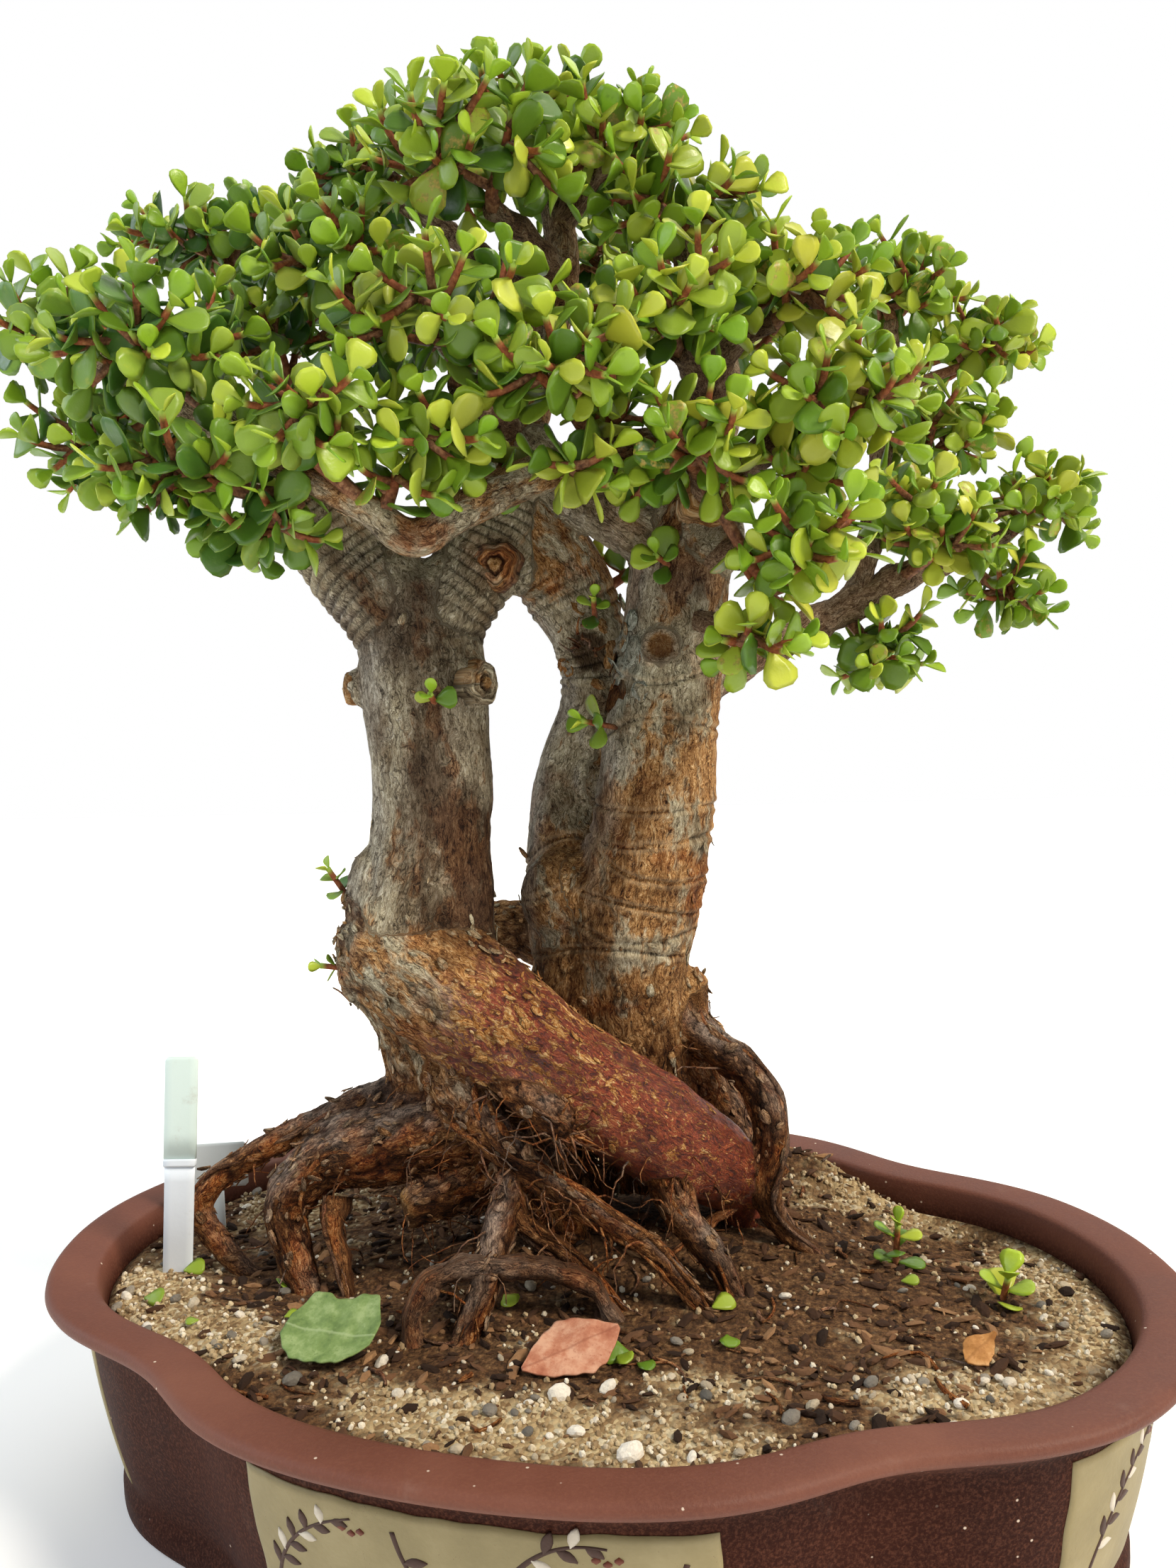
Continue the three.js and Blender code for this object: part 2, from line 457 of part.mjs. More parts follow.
// Where the twigs of a spray run: the first from the limb to the top, the others to an even spread on its outline.
function twigsOf(number, spray) {
  const centre = vector(spray.centre);
  const from = vector(spray.from);
  const hub = centre.clone().add(new THREE.Vector3(0, 0, -0.3 * spray.half[2]));
  const reach = spray.half.map((h) => Math.max(h - ROOM_FOR_LEAF, 4));
  const twigs = [];
  let branchlet;
  for (let k = 0; k < spray.twigs; k++) {
    const azimuth = 2 * Math.PI * fraction(0.5 + (k + 1) * GOLDEN.u + chance(number, 7, 1));
    const rise = -0.35 + 1.3 * fraction(0.5 + (k + 1) * GOLDEN.v);
    const flat = Math.sqrt(Math.max(0, 1 - rise * rise));
    const out = new THREE.Vector3(Math.cos(azimuth) * flat, Math.sin(azimuth) * flat, Math.min(rise, 1));
    const tip = centre.clone().add(new THREE.Vector3(out.x * reach[0], out.y * reach[1], out.z * reach[2]));
    const start = k === 0 ? from : branchlet.getPoint(FORK + 0.1 * (chance(number, k, 2) - 0.5));
    const droop = new THREE.Vector3(out.x * 3, out.y * 3, -3 * (1 - out.z));
    const bend = k === 0 ? hub.clone().lerp(tip, 0.1) : start.clone().lerp(tip, 0.55).add(droop);
    const side = [3, 4, 5].map((draw) => chance(number, k, draw) - 0.5);
    twigs.push({ k, start, bend, tip, side, radius: k === 0 ? TWIG.branchlet : TWIG.base });
    branchlet ??= twigPath(twigs[0]);
  }
  return twigs;
}

const boxed = (solid) => ({ solid, box: solid.boundingBox() });

function touches(solid, others) {
  const box = solid.boundingBox();
  const apart = (b) => [0, 1, 2].some((i) => b.min[i] > box.max[i] || b.max[i] < box.min[i]);
  return others.some((other) => !apart(other.box) && solid.intersect(other.solid).volume() > 1e-3);
}

// Joins leafy twigs, leaving out each leaf or twig that would cross another piece or another leaf.
function joinTwigs(number, twigs, pairs, leafLength, others) {
  const blades = [];
  const parts = [];
  const clear = twigs.filter((twig) => twig.k === 0 || !touches(twigTube(twig, SEAT + 0.4), others));
  for (const twig of clear) {
    const wood = clear.filter((other) => other !== twig).map((other) => boxed(twigTube(other)));
    const most = twig.k < 2 ? pairs : pairs - 1;
    const kept = leavesOf(number, twig, most, leafLength).filter((leaf) => {
      const guard = bladeSolid(bladePoints(leaf.base, leaf, SEAT + 0.2));
      const blade = bladeSolid(bladePoints(leaf.base, leaf));
      if (touches(guard, others) || touches(blade, [...blades, ...wood])) return false;
      blades.push(boxed(blade));
      return true;
    });
    parts.push(leafyTwig(twig, kept));
  }
  return wasm.Manifold.union(parts);
}

const biggest = (solid) => solid.decompose().sort((a, b) => b.volume() - a.volume())[0];

function spraySolid(number, spray, trunkSeat, others) {
  const whole = joinTwigs(number, twigsOf(number, spray), spray.pairs ?? 3, LEAF.length, [...others, trunkSeat]);
  return biggest(whole.subtract(trunkSeat.solid));
}

// A shoot or seedling is a single straight twig.
function shootTwig(shoot) {
  const [start, tip] = [vector(shoot.foot), vector(shoot.tip)];
  return { k: 0, start, bend: start.clone().lerp(tip, 0.5), tip, side: [0.4, 0.3, 0.2], radius: TWIG.tip };
}

function shootSolid(number, shoot, trunkSeat, others) {
  return biggest(joinTwigs(number, [shootTwig(shoot)], shoot.pairs, shoot.leaf, others).subtract(trunkSeat.solid));
}

// Plant labels: blank plastic stakes pushed into the soil.
const STAKE = { width: 16, height: 112, point: 10, thickness: 1.2 };
const CARD = { width: 34, height: 20, stem: 12, length: 74, thickness: 1 };

function stake(grow = 0) {
  const half = STAKE.width / 2 + grow;
  const shape = new THREE.Shape();
  shape.moveTo(-half, STAKE.height + grow);
  shape.lineTo(-half, STAKE.point);
  shape.lineTo(-2 - grow, -grow);
  shape.lineTo(2 + grow, -grow);
  shape.lineTo(half, STAKE.point);
  shape.lineTo(half, STAKE.height + grow);
  const depth = STAKE.thickness + 2 * grow;
  const plate = new THREE.ExtrudeGeometry(shape, { depth, bevelEnabled: false }).translate(0, 0, -depth / 2);
  plate.rotateX(Math.PI / 2).rotateZ(0.2).translate(-164, -37, 56);
  return solidOf(plate);
}

function card(grow = 0) {
  const [head, stem] = [CARD.width / 2 + grow, CARD.stem / 2 + grow];
  const shape = new THREE.Shape();
  shape.moveTo(-head, CARD.length + grow);
  shape.lineTo(-head, CARD.length - CARD.height - grow);
  shape.lineTo(-stem, CARD.length - CARD.height - grow);
  shape.lineTo(-stem, 8);
  shape.lineTo(0, -grow);
  shape.lineTo(stem, 8);
  shape.lineTo(stem, CARD.length - CARD.height - grow);
  shape.lineTo(head, CARD.length - CARD.height - grow);
  shape.lineTo(head, CARD.length + grow);
  const depth = CARD.thickness + 2 * grow;
  const plate = new THREE.ExtrudeGeometry(shape, { depth, bevelEnabled: false }).translate(0, 0, -depth / 2);
  plate.rotateX(Math.PI / 2).rotateZ(0.35).translate(-179, 10, 46);
  return solidOf(plate);
}

// A dry leaf lying on the soil: a thin curled blade that follows the ground.
function fallenLeaf({ at, turn, outline, thickness, curl, clear }) {
  const [cos, sin] = [Math.cos(turn), Math.sin(turn)];
  const place = ([x, y], lift) => {
    const [wx, wy] = [at[0] + x * cos - y * sin, at[1] + x * sin + y * cos];
    return new THREE.Vector3(wx, wy, soilHeight(wx, wy) + clear + curl * (y * y) + lift);
  };
  const inner = outline.map(([x, y]) => [x * 0.5, y * 0.5]);
  const rings = [inner, outline].map((ring) => ring.map((p) => place(p, 0)));
  const upper = [outline, inner].map((ring) => ring.map((p) => place(p, thickness)));
  return solidOf(skin([...rings, ...upper], place([0, 0], 0), place([0, 0], thickness)));
}

const FALLEN = {
  fallen_leaf_green: {
    at: [-73, -69], turn: 0.25, thickness: 1, curl: 0.012, clear: 0.7, material: DRY_GREEN,
    outline: [[-19, -7], [-4, -12], [10, -13], [19, -8], [17, 3], [10, 11], [-8, 14], [-16, 7]],
  },
  fallen_leaf_red: {
    at: [13, -62], turn: 0.7, thickness: 1, curl: 0.01, clear: 0.7, material: DRY_RED,
    outline: [[-18, 0], [-8, -9], [4, -12], [13, -7], [18, 0], [12, 9], [2, 12], [-9, 8]],
  },
};

const bonsai = new THREE.Group();

function add(name, solid, material) {
  const mesh = new THREE.Mesh(geometryOf(solid), material);
  mesh.name = name;
  bonsai.add(mesh);
}

const trunk = biggest(wood()).simplify(FACET.bark);
const seatSolid = wood(SEAT + FACET.bark).simplify(FACET.seat);
const trunkSeat = boxed(seatSolid);
const seedlings = Object.values(SHOOTS).map((shoot) => twigTube(shootTwig(shoot), 2 * SEAT));
const holes = wasm.Manifold.union([seatSolid, stake(SEAT), card(SEAT), ...seedlings]);
const placedSprays = [];

function keep(name, solid) {
  placedSprays.push(boxed(solid));
  add(name, solid, LEAVES);
}

add("pot", pot(), STONEWARE);
add("trunk", trunk, BARK);
Object.entries(SPRAYS).forEach(([name, spray], i) => keep(`spray_${name}`, spraySolid(i, spray, trunkSeat, placedSprays)));
Object.entries(SHOOTS).forEach(([name, shoot], i) => keep(name, shootSolid(i + 50, shoot, trunkSeat, placedSprays)));
add("soil", soil(holes), SOIL);
add("label_stake", stake(), PLASTIC);
add("label_card", card(), PLASTIC);
for (const [name, leaf] of Object.entries(FALLEN)) add(name, fallenLeaf(leaf), leaf.material);

export default bonsai;
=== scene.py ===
# Dressed model of a dwarf jade bonsai in its four-lobed stoneware tray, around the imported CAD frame.
# Tables and helpers are in millimetres, as in the CAD source, and mesh_object turns them into metres.
import math
from functools import reduce

import bpy
import numpy as np
from mathutils import Matrix, Vector


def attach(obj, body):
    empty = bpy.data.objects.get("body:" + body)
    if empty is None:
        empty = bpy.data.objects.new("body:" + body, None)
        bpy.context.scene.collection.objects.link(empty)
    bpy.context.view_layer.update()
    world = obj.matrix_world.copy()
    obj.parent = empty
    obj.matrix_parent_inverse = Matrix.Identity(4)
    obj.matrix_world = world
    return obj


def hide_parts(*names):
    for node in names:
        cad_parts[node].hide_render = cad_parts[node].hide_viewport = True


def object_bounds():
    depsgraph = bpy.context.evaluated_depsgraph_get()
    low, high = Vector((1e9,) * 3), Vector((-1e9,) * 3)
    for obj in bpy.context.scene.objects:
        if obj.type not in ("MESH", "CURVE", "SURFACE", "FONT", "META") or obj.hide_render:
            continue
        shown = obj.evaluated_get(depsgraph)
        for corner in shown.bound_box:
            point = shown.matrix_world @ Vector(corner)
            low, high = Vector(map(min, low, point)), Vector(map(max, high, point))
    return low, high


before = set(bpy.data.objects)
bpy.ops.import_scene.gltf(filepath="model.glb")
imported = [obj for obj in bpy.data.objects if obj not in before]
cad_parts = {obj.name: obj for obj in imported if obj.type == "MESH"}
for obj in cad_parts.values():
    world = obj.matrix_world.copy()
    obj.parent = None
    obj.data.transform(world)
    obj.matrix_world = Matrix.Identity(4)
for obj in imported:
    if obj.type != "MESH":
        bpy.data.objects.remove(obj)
CAD_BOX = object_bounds()

MM = 0.001
BODY = "root"

# Sizes shared with the CAD source.
POT_HEIGHT = 92
MOUTH_HALF = (205, 137)  # inner edge of the rim
NOTCH_AT, NOTCH_DEPTH, NOTCH_WIDTH = math.radians(53), 0.08, 0.225
SOIL_LEVEL = 81
LEAF_LENGTH, LEAF_WIDTH = 18, 14.5
TWIG_BRANCHLET, TWIG_BASE = 3.4, 2.1  # radii
BUD = 0.6  # from the last pair of leaves to the tip of a twig
FORK = 0.4  # where the side twigs leave the first, as a share of it
GOLDEN_U, GOLDEN_V = 0.7548776662, 0.569840291  # steps of an even sequence
ROOM_FOR_LEAF = 11

# Each limb is a run of (x, y, z, radius) stations.
LIMBS = {
    "leftTrunk": [
        (-57, 15, 138, 26.5), (-61, 10, 180, 28), (-69, 8, 210, 32), (-64.5, 13, 254, 25.5),
        (-65.5, 18, 292, 26), (-68, 21, 330, 27), (-71, 20, 366, 22),
    ],
    "leftForkOuter": [
        (-73, 20, 348, 24), (-84, 17, 362, 23), (-98, 14, 378, 20.5), (-111, 10, 396, 18),
        (-121, 2, 414, 14.5), (-136, -12, 430, 11), (-157, -26, 446, 8), (-186, -30, 460, 6),
    ],
    "leftForkInner": [
        (-66, 21, 343, 23), (-58, 24, 355, 21), (-50, 32, 369, 18), (-42, 43, 385, 17), (-35, 53, 406, 15),
    ],
    "crossingRoot": [
        (-80, 4, 213, 27), (-48, -6, 194, 26.5), (-17, -5, 174, 23), (12, 5, 151, 21.5),
        (35, 17, 131, 20.5), (49, 29, 118, 17), (55, 42, 101, 12), (57, 48, 80, 6),
    ],
    "rightTrunk": [
        (22, 52, 104, 28), (14, 54, 150, 23), (9, 53, 186, 25), (13, 52, 220, 28), (23, 52, 262, 26.5),
        (28, 55, 304, 24), (34, 58, 342, 22.5), (39, 58, 376, 21.5), (49, 59, 412, 15), (53, 57, 444, 9),
    ],
    "backTrunk": [
        (-4, 57, 180, 22), (-9, 60, 212, 28.5), (-20, 66, 246, 19), (-21, 71, 276, 14.5),
        (-10, 76, 312, 14.5), (-9, 75, 340, 17), (-21, 67, 374, 21), (-37, 57, 399, 19), (-36, 57, 431, 15),
        (-23, 62, 469, 11), (-12, 64, 510, 8), (-17, 54, 548, 4.5),
    ],
    "backBar": [(-84, 66, 206, 10), (-50, 72, 209, 13), (-16, 72, 196, 18)],
    "lowBulge": [(-12, 50, 150, 18), (-14, 50, 178, 21), (-10, 52, 200, 22)],
    "frontBranch": [
        (44, 52, 409, 12), (33, 36, 414, 9.5), (14, 15, 409, 8.5), (-11, -4, 399, 8), (-35, -24, 383, 7.5),
        (-46, -36, 374, 7.5), (-58, -45, 384, 6), (-74, -50, 393, 5), (-96, -52, 404, 4),
    ],
    "bridgeLimb": [
        (43, 59, 371, 16), (26, 52, 382, 14), (2, 53, 398, 13), (-19, 55, 414, 13), (-34, 57, 430, 13),
    ],
    "rightBackLimb": [
        (38, 68, 312, 9), (53, 92, 326, 9), (76, 120, 340, 8.5), (103, 141, 355, 8.5), (132, 161, 371, 7.5),
        (160, 176, 382, 6), (180, 187, 390, 4.5),
    ],
    "rightBackStem": [(106, 144, 356, 7), (116, 156, 400, 6), (122, 168, 450, 5), (127, 180, 500, 4)],
    "topLeftLimb": [(-20, 63, 480, 8), (-55, 70, 520, 6), (-98, 80, 556, 4)],
    "leftBackLimb": [(-102, 12, 390, 10), (-130, 36, 440, 7.5), (-162, 50, 496, 5.5), (-176, 54, 520, 4)],
    "centreLimb": [(-33, 57, 435, 9), (-35, 22, 432, 6.5), (-30, -14, 428, 5), (-27, -32, 430, 4)],
    "midLeftLimb": [(-25, 60, 462, 8), (-50, 26, 470, 6), (-72, -6, 473, 4)],
    "topFrontLimb": [(-14, 63, 500, 7), (-18, 32, 508, 5), (-23, 4, 508, 4)],
    "topRightLimb": [(-11, 62, 524, 6), (8, 53, 538, 4.5), (22, 46, 544, 3.5)],
    "rightTopLimb": [(52, 58, 436, 8), (64, 36, 452, 6), (84, 28, 458, 4)],
    "rightFrontUpperLimb": [(52, 58, 438, 7), (50, 30, 446, 5), (48, 12, 446, 4)],
    "topRightLowLimb": [(53, 57, 440, 8), (50, 48, 476, 5.5), (45, 40, 500, 4)],
    "rightFrontLimb": [(48, 59, 400, 9), (74, 36, 408, 6.5), (96, 16, 411, 4)],
    "rightLowLimb": [(42, 58, 374, 8), (68, 28, 368, 5.5), (88, 4, 362, 4)],
    "rightLowestLimb": [(36, 58, 348, 6), (58, 28, 340, 4.5), (67, 12, 336, 3.5)],
    "rightMidLimb": [(47, 59, 392, 8), (55, 28, 396, 5.5), (57, 4, 396, 4)],
    "backLeftLimb": [(-34, 57, 434, 9), (-62, 92, 468, 7), (-92, 112, 500, 4.5)],
    "backCentreLimb": [(-23, 62, 470, 8), (-25, 98, 498, 6), (-28, 122, 518, 4)],
    "backRightLimb": [(50, 59, 412, 10), (55, 94, 446, 7), (52, 122, 478, 4.5)],
    "backLowLimb": [(-44, 40, 382, 9), (-62, 84, 414, 7), (-76, 112, 432, 4.5)],
    "leftBackLowLimb": [(-112, 4, 406, 9), (-136, 40, 422, 6), (-154, 66, 432, 4)],
}

ROOTS = {
    "leftLong": [
        (-52, 4, 160, 10), (-73, 0, 154, 6.6), (-95, -5, 147.5, 6), (-117, -9, 137.5, 5.8),
        (-139, -13, 127, 5.6), (-156, -17, 116, 5.6), (-164, -20, 104, 5.6), (-153, -24, 92, 5.2),
        (-134, -27, 78, 4),
    ],
    "leftThick": [
        (-36, -2, 144, 19), (-61, -8, 139, 17.5), (-84, -14, 132.5, 16), (-105, -18, 126, 13),
        (-119, -26, 111, 9.5), (-114, -31, 95, 7.5), (-104, -35, 74, 6),
    ],
    "leftLeg": [(-98, -22, 114, 6), (-96, -29, 100, 4), (-90, -34, 90, 3.2), (-85, -37, 74, 2.6)],
    "cutStub": [(-33, -3, 126, 14), (-50, -13, 117, 11), (-67, -25, 112, 7.6)],
    "core": [(-52, 14, 150, 30), (-34, 16, 126, 27), (-18, 20, 100, 22), (-10, 24, 76, 16)],
    "centreLong": [
        (-50, -12, 163, 12), (-33, -20, 148, 8), (-17, -24, 135, 6), (1, -26, 124, 4.8),
        (19, -26, 114, 4.3), (35, -25, 104, 3.9), (56, -21, 76, 3),
    ],
    "peeled": [(-36, -10, 172, 9), (-17, -21, 162, 8.5), (-4, -25, 153, 7.5), (4, -27, 147, 5)],
    "thin": [(-24, -18, 138, 5), (-15, -31, 114, 3.6), (5, -31, 101, 3), (24, -30, 78, 2.4)],
    "frontArch": [
        (24, -33, 76, 3), (9, -38, 98, 4), (-12, -46, 104, 4.3), (-42, -59, 101, 4.3), (-46, -70, 72, 3.6),
    ],
    "frontDrop": [
        (-20, -16, 132, 8), (-22, -38, 114, 6), (-24, -51, 98, 5.6), (-28, -60, 84, 5.4),
        (-34, -67, 68, 4.4),
    ],
    "rightLow": [(30, 10, 130, 10), (40, -2, 110, 7), (56, -8, 92, 5.4), (70, -14, 68, 3)],
    "thinCross": [
        (76, 45, 114, 3), (69, 43, 109, 3), (58, 32, 103, 2.6), (45, 16, 95, 2.2), (38, 6, 78, 1.8),
    ],
    "rightOuter": [
        (20, 60, 182, 11), (37, 54, 168, 8.5), (50, 47, 160, 7.5), (61, 42, 153, 7), (69, 38, 143, 6.8),
        (72, 34, 131, 6.6), (70, 31, 117, 6.2), (70, 31, 103, 5.6), (77, 31, 92, 4.8), (88, 30, 82, 4),
        (99, 27, 68, 2.8),
    ],
    "rightBack": [
        (26, 62, 156, 17), (41, 64, 134, 13), (54, 60, 112, 10), (64, 50, 92, 8), (68, 46, 74, 6),
    ],
    "backRight": [(24, 66, 150, 14), (44, 92, 122, 10), (58, 100, 98, 8), (64, 102, 72, 5)],
    "backCentre": [(0, 62, 160, 16), (-8, 88, 128, 11), (-14, 104, 100, 8), (-18, 112, 68, 5)],
    "backLeft": [(-66, 20, 160, 15), (-82, 46, 134, 10), (-98, 66, 108, 8), (-110, 76, 70, 5)],
}

# Swellings of the wood: (x, y, z, radius).
BURLS = [
    (-91, 14, 322, 8), (-42, 12, 322, 9), (-29, 47, 371, 10), (-78, 8, 232, 23), (-18, 44, 229, 18),
    (-6, 66, 277, 12), (-5, 66, 297, 9), (-81, 5, 209, 25), (40, 66, 158, 11), (35, 61, 184, 9),
    (33, 60, 176, 10), (-44, 44, 372, 12),
]

# Stubs of limbs that were sawn off.
CUT_ENDS = {
    "kneeStub": [(-90, 12, 230, 5), (-104, 4, 232, 3.4)],
    "sawnStub": [(52, 58, 372, 13), (55, 44, 380, 13), (56, 36, 383, 12)],
    "shortStub": [(32, 50, 333, 9), (33, 34, 334, 7.5)],
}

# Each leafy spray: where it leaves its limb, its centre, its half sizes, and its twigs in the CAD model.
SPRAYS = {
    "top_centre": ((-17, 54, 546), (-32, 42, 566), (46, 40, 23), 4),
    "top_front": ((-22, 8, 508), (-24, -14, 522), (38, 32, 26), 3),
    "top_right": ((20, 47, 543), (20, 43, 544), (34, 34, 24), 3),
    "top_right_low": ((45, 40, 498), (46, 34, 512), (32, 30, 24), 3),
    "top_left_back": ((-94, 79, 553), (-112, 82, 570), (32, 34, 28), 3),
    "left_back_upper": ((-174, 53, 517), (-180, 54, 540), (46, 36, 24), 4),
    "left_far": ((-182, -29, 458), (-206, -20, 480), (26, 34, 26), 3),
    "left_front": ((-140, -16, 435), (-134, -66, 449), (34, 26, 27), 3),
    "left_low_back": ((-150, -21, 441), (-198, -8, 432), (34, 36, 26), 3),
    "left_low_front": ((-90, -51, 391), (-124, -64, 402), (36, 26, 24), 3),
    "mid_left": ((-70, -4, 473), (-79, -20, 490), (32, 28, 27), 3),
    "centre": ((-27, -30, 430), (-28, -48, 452), (38, 26, 25), 3),
    "left_mid_front": ((-58, -46, 385), (-70, -72, 413), (27, 22, 24), 3),
    "left_bottom": ((-84, -50, 390), (-100, -48, 382), (26, 24, 16), 3),
    "centre_low": ((-30, -14, 428), (-32, -50, 408), (24, 20, 20), 3),
    "centre_right_front": ((16, 12, 409), (17, -44, 430), (29, 22, 20), 3),
    "centre_small": ((8, 4, 405), (16, -26, 398), (14, 13, 14), 1),
    "right_front_upper": ((48, 14, 446), (48, -6, 458), (33, 26, 26), 3),
    "right_top": ((82, 29, 457), (92, 26, 470), (29, 28, 26), 3),
    "right_front": ((94, 18, 411), (108, 8, 420), (32, 26, 27), 3),
    "right_mid": ((57, 6, 396), (58, -14, 404), (24, 20, 22), 3),
    "right_low": ((86, 6, 362), (97, -6, 367), (23, 20, 26), 3),
    "right_lowest": ((66, 13, 336), (75, -4, 333), (22, 18, 14), 2),
    "back_right_upper": ((127, 179, 497), (129, 184, 520), (33, 28, 26), 3),
    "back_right_far": ((123, 171, 462), (176, 204, 494), (33, 28, 28), 3),
    "back_right_mid": ((118, 160, 416), (149, 175, 442), (28, 26, 26), 3),
    "far_right": ((178, 186, 389), (198, 196, 407), (34, 30, 26), 3),
    "far_right_mid": ((124, 156, 366), (145, 142, 386), (30, 26, 24), 3),
    "far_right_low": ((156, 174, 380), (178, 178, 362), (21, 20, 20), 2),
    "right_droop": ((103, 141, 350), (119, 140, 334), (21, 20, 26), 2),
    "back_left": ((-90, 111, 498), (-108, 124, 514), (40, 34, 26), 3),
    "back_centre": ((-28, 120, 516), (-32, 134, 536), (40, 32, 26), 3),
    "back_right": ((52, 120, 476), (52, 134, 498), (38, 32, 28), 3),
    "back_low": ((-74, 110, 431), (-82, 126, 446), (36, 28, 24), 3),
    "left_back_low": ((-152, 64, 431), (-164, 76, 450), (32, 30, 24), 3),
}

# Leafy places between the sprays of the CAD model.
EXTRA_SPRAYS = {
    "gap_left": ((-130, 36, 440), (-122, 12, 478), (34, 26, 28), 3),
    "over_branch": ((-54, -44, 382), (-46, -46, 398), (26, 16, 18), 2),
    "behind_branch": ((-36, 22, 430), (-30, -8, 402), (26, 18, 14), 2),
    "left_underside": ((-94, -51, 391), (-92, -46, 400), (24, 20, 16), 2),
    "fill_centre": ((14, 15, 409), (20, 14, 429), (20, 15, 14), 2),
    "fill_low": ((33, 36, 414), (32, 18, 399), (15, 12, 12), 1),
    "fill_far": ((116, 156, 400), (138, 128, 404), (22, 18, 15), 2),
    "fill_right": ((57, 6, 396), (81, 18, 353), (18, 14, 14), 2),
    "fill_hollow": ((-9, 75, 360), (6, 88, 374), (12, 10, 12), 1),
    "gap_right": ((96, 16, 411), (94, 24, 400), (20, 20, 18), 2),
}

# Each shoot: its foot, its tip, its pairs of leaves, and the length of a leaf.
SHOOTS = {
    "shoot_left_trunk": ((-54, 0, 312), (-52, -11, 317), 1, 10),
    "shoot_back_trunk": ((14, 40, 300), (1, 20, 304), 2, 11),
    "shoot_knee": ((-100, 6, 231), (-107, 0, 246), 2, 9),
    "shoot_low_knee": ((-92, -4, 204), (-108, -8, 206), 1, 8),
    "shoot_hollow": ((-2, 60, 346), (2, 44, 357), 2, 8),
    "shoot_right_trunk": ((38, 42, 366), (34, 24, 370), 2, 12),
    "seedling_back": ((120, 34, 74), (122, 31, 98), 3, 10),
    "seedling_right": ((158, 14, 70), (162, 9, 90), 2, 13),
}

# Repeatable draws and noise.
def chance(a, b, c):
    """A repeatable draw from 0 to 1 for three numbers."""
    value = np.sin(a * 127.1 + b * 311.7 + c * 74.7) * 43758.5453
    return value - np.floor(value)


def cell_value(x, y, z):
    n = (x * 374761393 + y * 668265263 + z * 1274126177).astype(np.uint32)
    n = (n ^ (n >> np.uint32(13))) * np.uint32(1274126177)
    return ((n ^ (n >> np.uint32(16))) & np.uint32(0xFFFF)) / 65535.0


def noise(points, octaves=1):
    """Smooth noise from -1 to 1 at points (n, 3), with a cell of 1."""
    total = np.zeros(len(points))
    weight, spread = 1.0, 0.0
    at = np.asarray(points, float)
    for _ in range(octaves):
        cell = np.floor(at).astype(np.int64)
        f = at - cell
        f = f * f * (3 - 2 * f)
        value = np.zeros(len(at))
        for corner in range(8):
            step = np.array([corner & 1, corner >> 1 & 1, corner >> 2])
            value += np.where(step, f, 1 - f).prod(1) * cell_value(*(cell + step).T)
        total += weight * (2 * value - 1)
        spread += weight
        weight *= 0.5
        at = at * 2.03 + 11.7
    return total / spread


def noise_at(x, y, z, octaves=1):
    """Noise at arrays of coordinates, any of which may be a plain number."""
    x, y, z = (np.asarray(part, float) for part in np.broadcast_arrays(x, y, z))
    return noise(np.stack([x.ravel(), y.ravel(), z.ravel()], 1), octaves).reshape(x.shape)


def ramp_up(value, low, high):
    """A smooth step from 0 at low to 1 at high."""
    t = np.clip((value - low) / (high - low), 0, 1)
    return t * t * (3 - 2 * t)


def band(value, low, full, fading, high):
    """Up to 1 from low to full, and down to 0 again from fading to high."""
    return ramp_up(value, low, full) * (1 - ramp_up(value, fading, high))


def hump(value, middle, width, power=2):
    """A smooth hump of height 1 about a middle."""
    return np.exp(-(np.abs((value - middle) / width) ** power))


def mound(x, y, at_x, at_y, wide_x, wide_y):
    """A smooth mound of height 1 over a place."""
    return np.exp(-(((x - at_x) / wide_x) ** 2) - ((y - at_y) / wide_y) ** 2)


def circle(around):
    """Even angles once round."""
    return 2 * math.pi * np.arange(around) / around


def turned(x, y, turn):
    """x and y turned about the z axis."""
    return x * np.cos(turn) - y * np.sin(turn), x * np.sin(turn) + y * np.cos(turn)


# Meshes from arrays.
class Batch:
    """Collects closed pieces of one mesh: points, faces of three or four corners, and the points' values."""

    def __init__(self):
        self.points, self.values, self.count = [], {}, 0
        self.faces, self.slots = {3: [], 4: []}, {3: [], 4: []}

    def add(self, points, quads=None, tris=None, slot=0, **values):
        for size, faces in ((4, quads), (3, tris)):
            if faces is not None and len(faces):
                self.faces[size].append(np.asarray(faces) + self.count)
                self.slots[size].append(np.full(len(faces), slot))
        for name, value in values.items():
            value = np.asarray(value, float)
            if value.ndim == 0:
                value = np.full(len(points), float(value))
            self.values.setdefault(name, []).append(value)
        self.points.append(points)
        self.count += len(points)

    def add_rings(self, points, around, slot=0, **values):
        """Adds a closed form of rings of points, followed by the two points at its ends."""
        rows = (len(points) - 2) // around
        self.add(points, grid_faces(rows, around), cap_faces(rows, around), slot, **values)

    def build(self, name, materials, smooth=True):
        faces = [np.concatenate(group) for group in (self.faces[4], self.faces[3]) if group]
        slots = [np.concatenate(group) for group in (self.slots[4], self.slots[3]) if group]
        values = {key: np.concatenate(parts) for key, parts in self.values.items()}
        piece = mesh_object(name, np.concatenate(self.points), faces, materials, smooth, values)
        piece.data.polygons.foreach_set("material_index", np.concatenate(slots).astype(np.int32))
        return piece


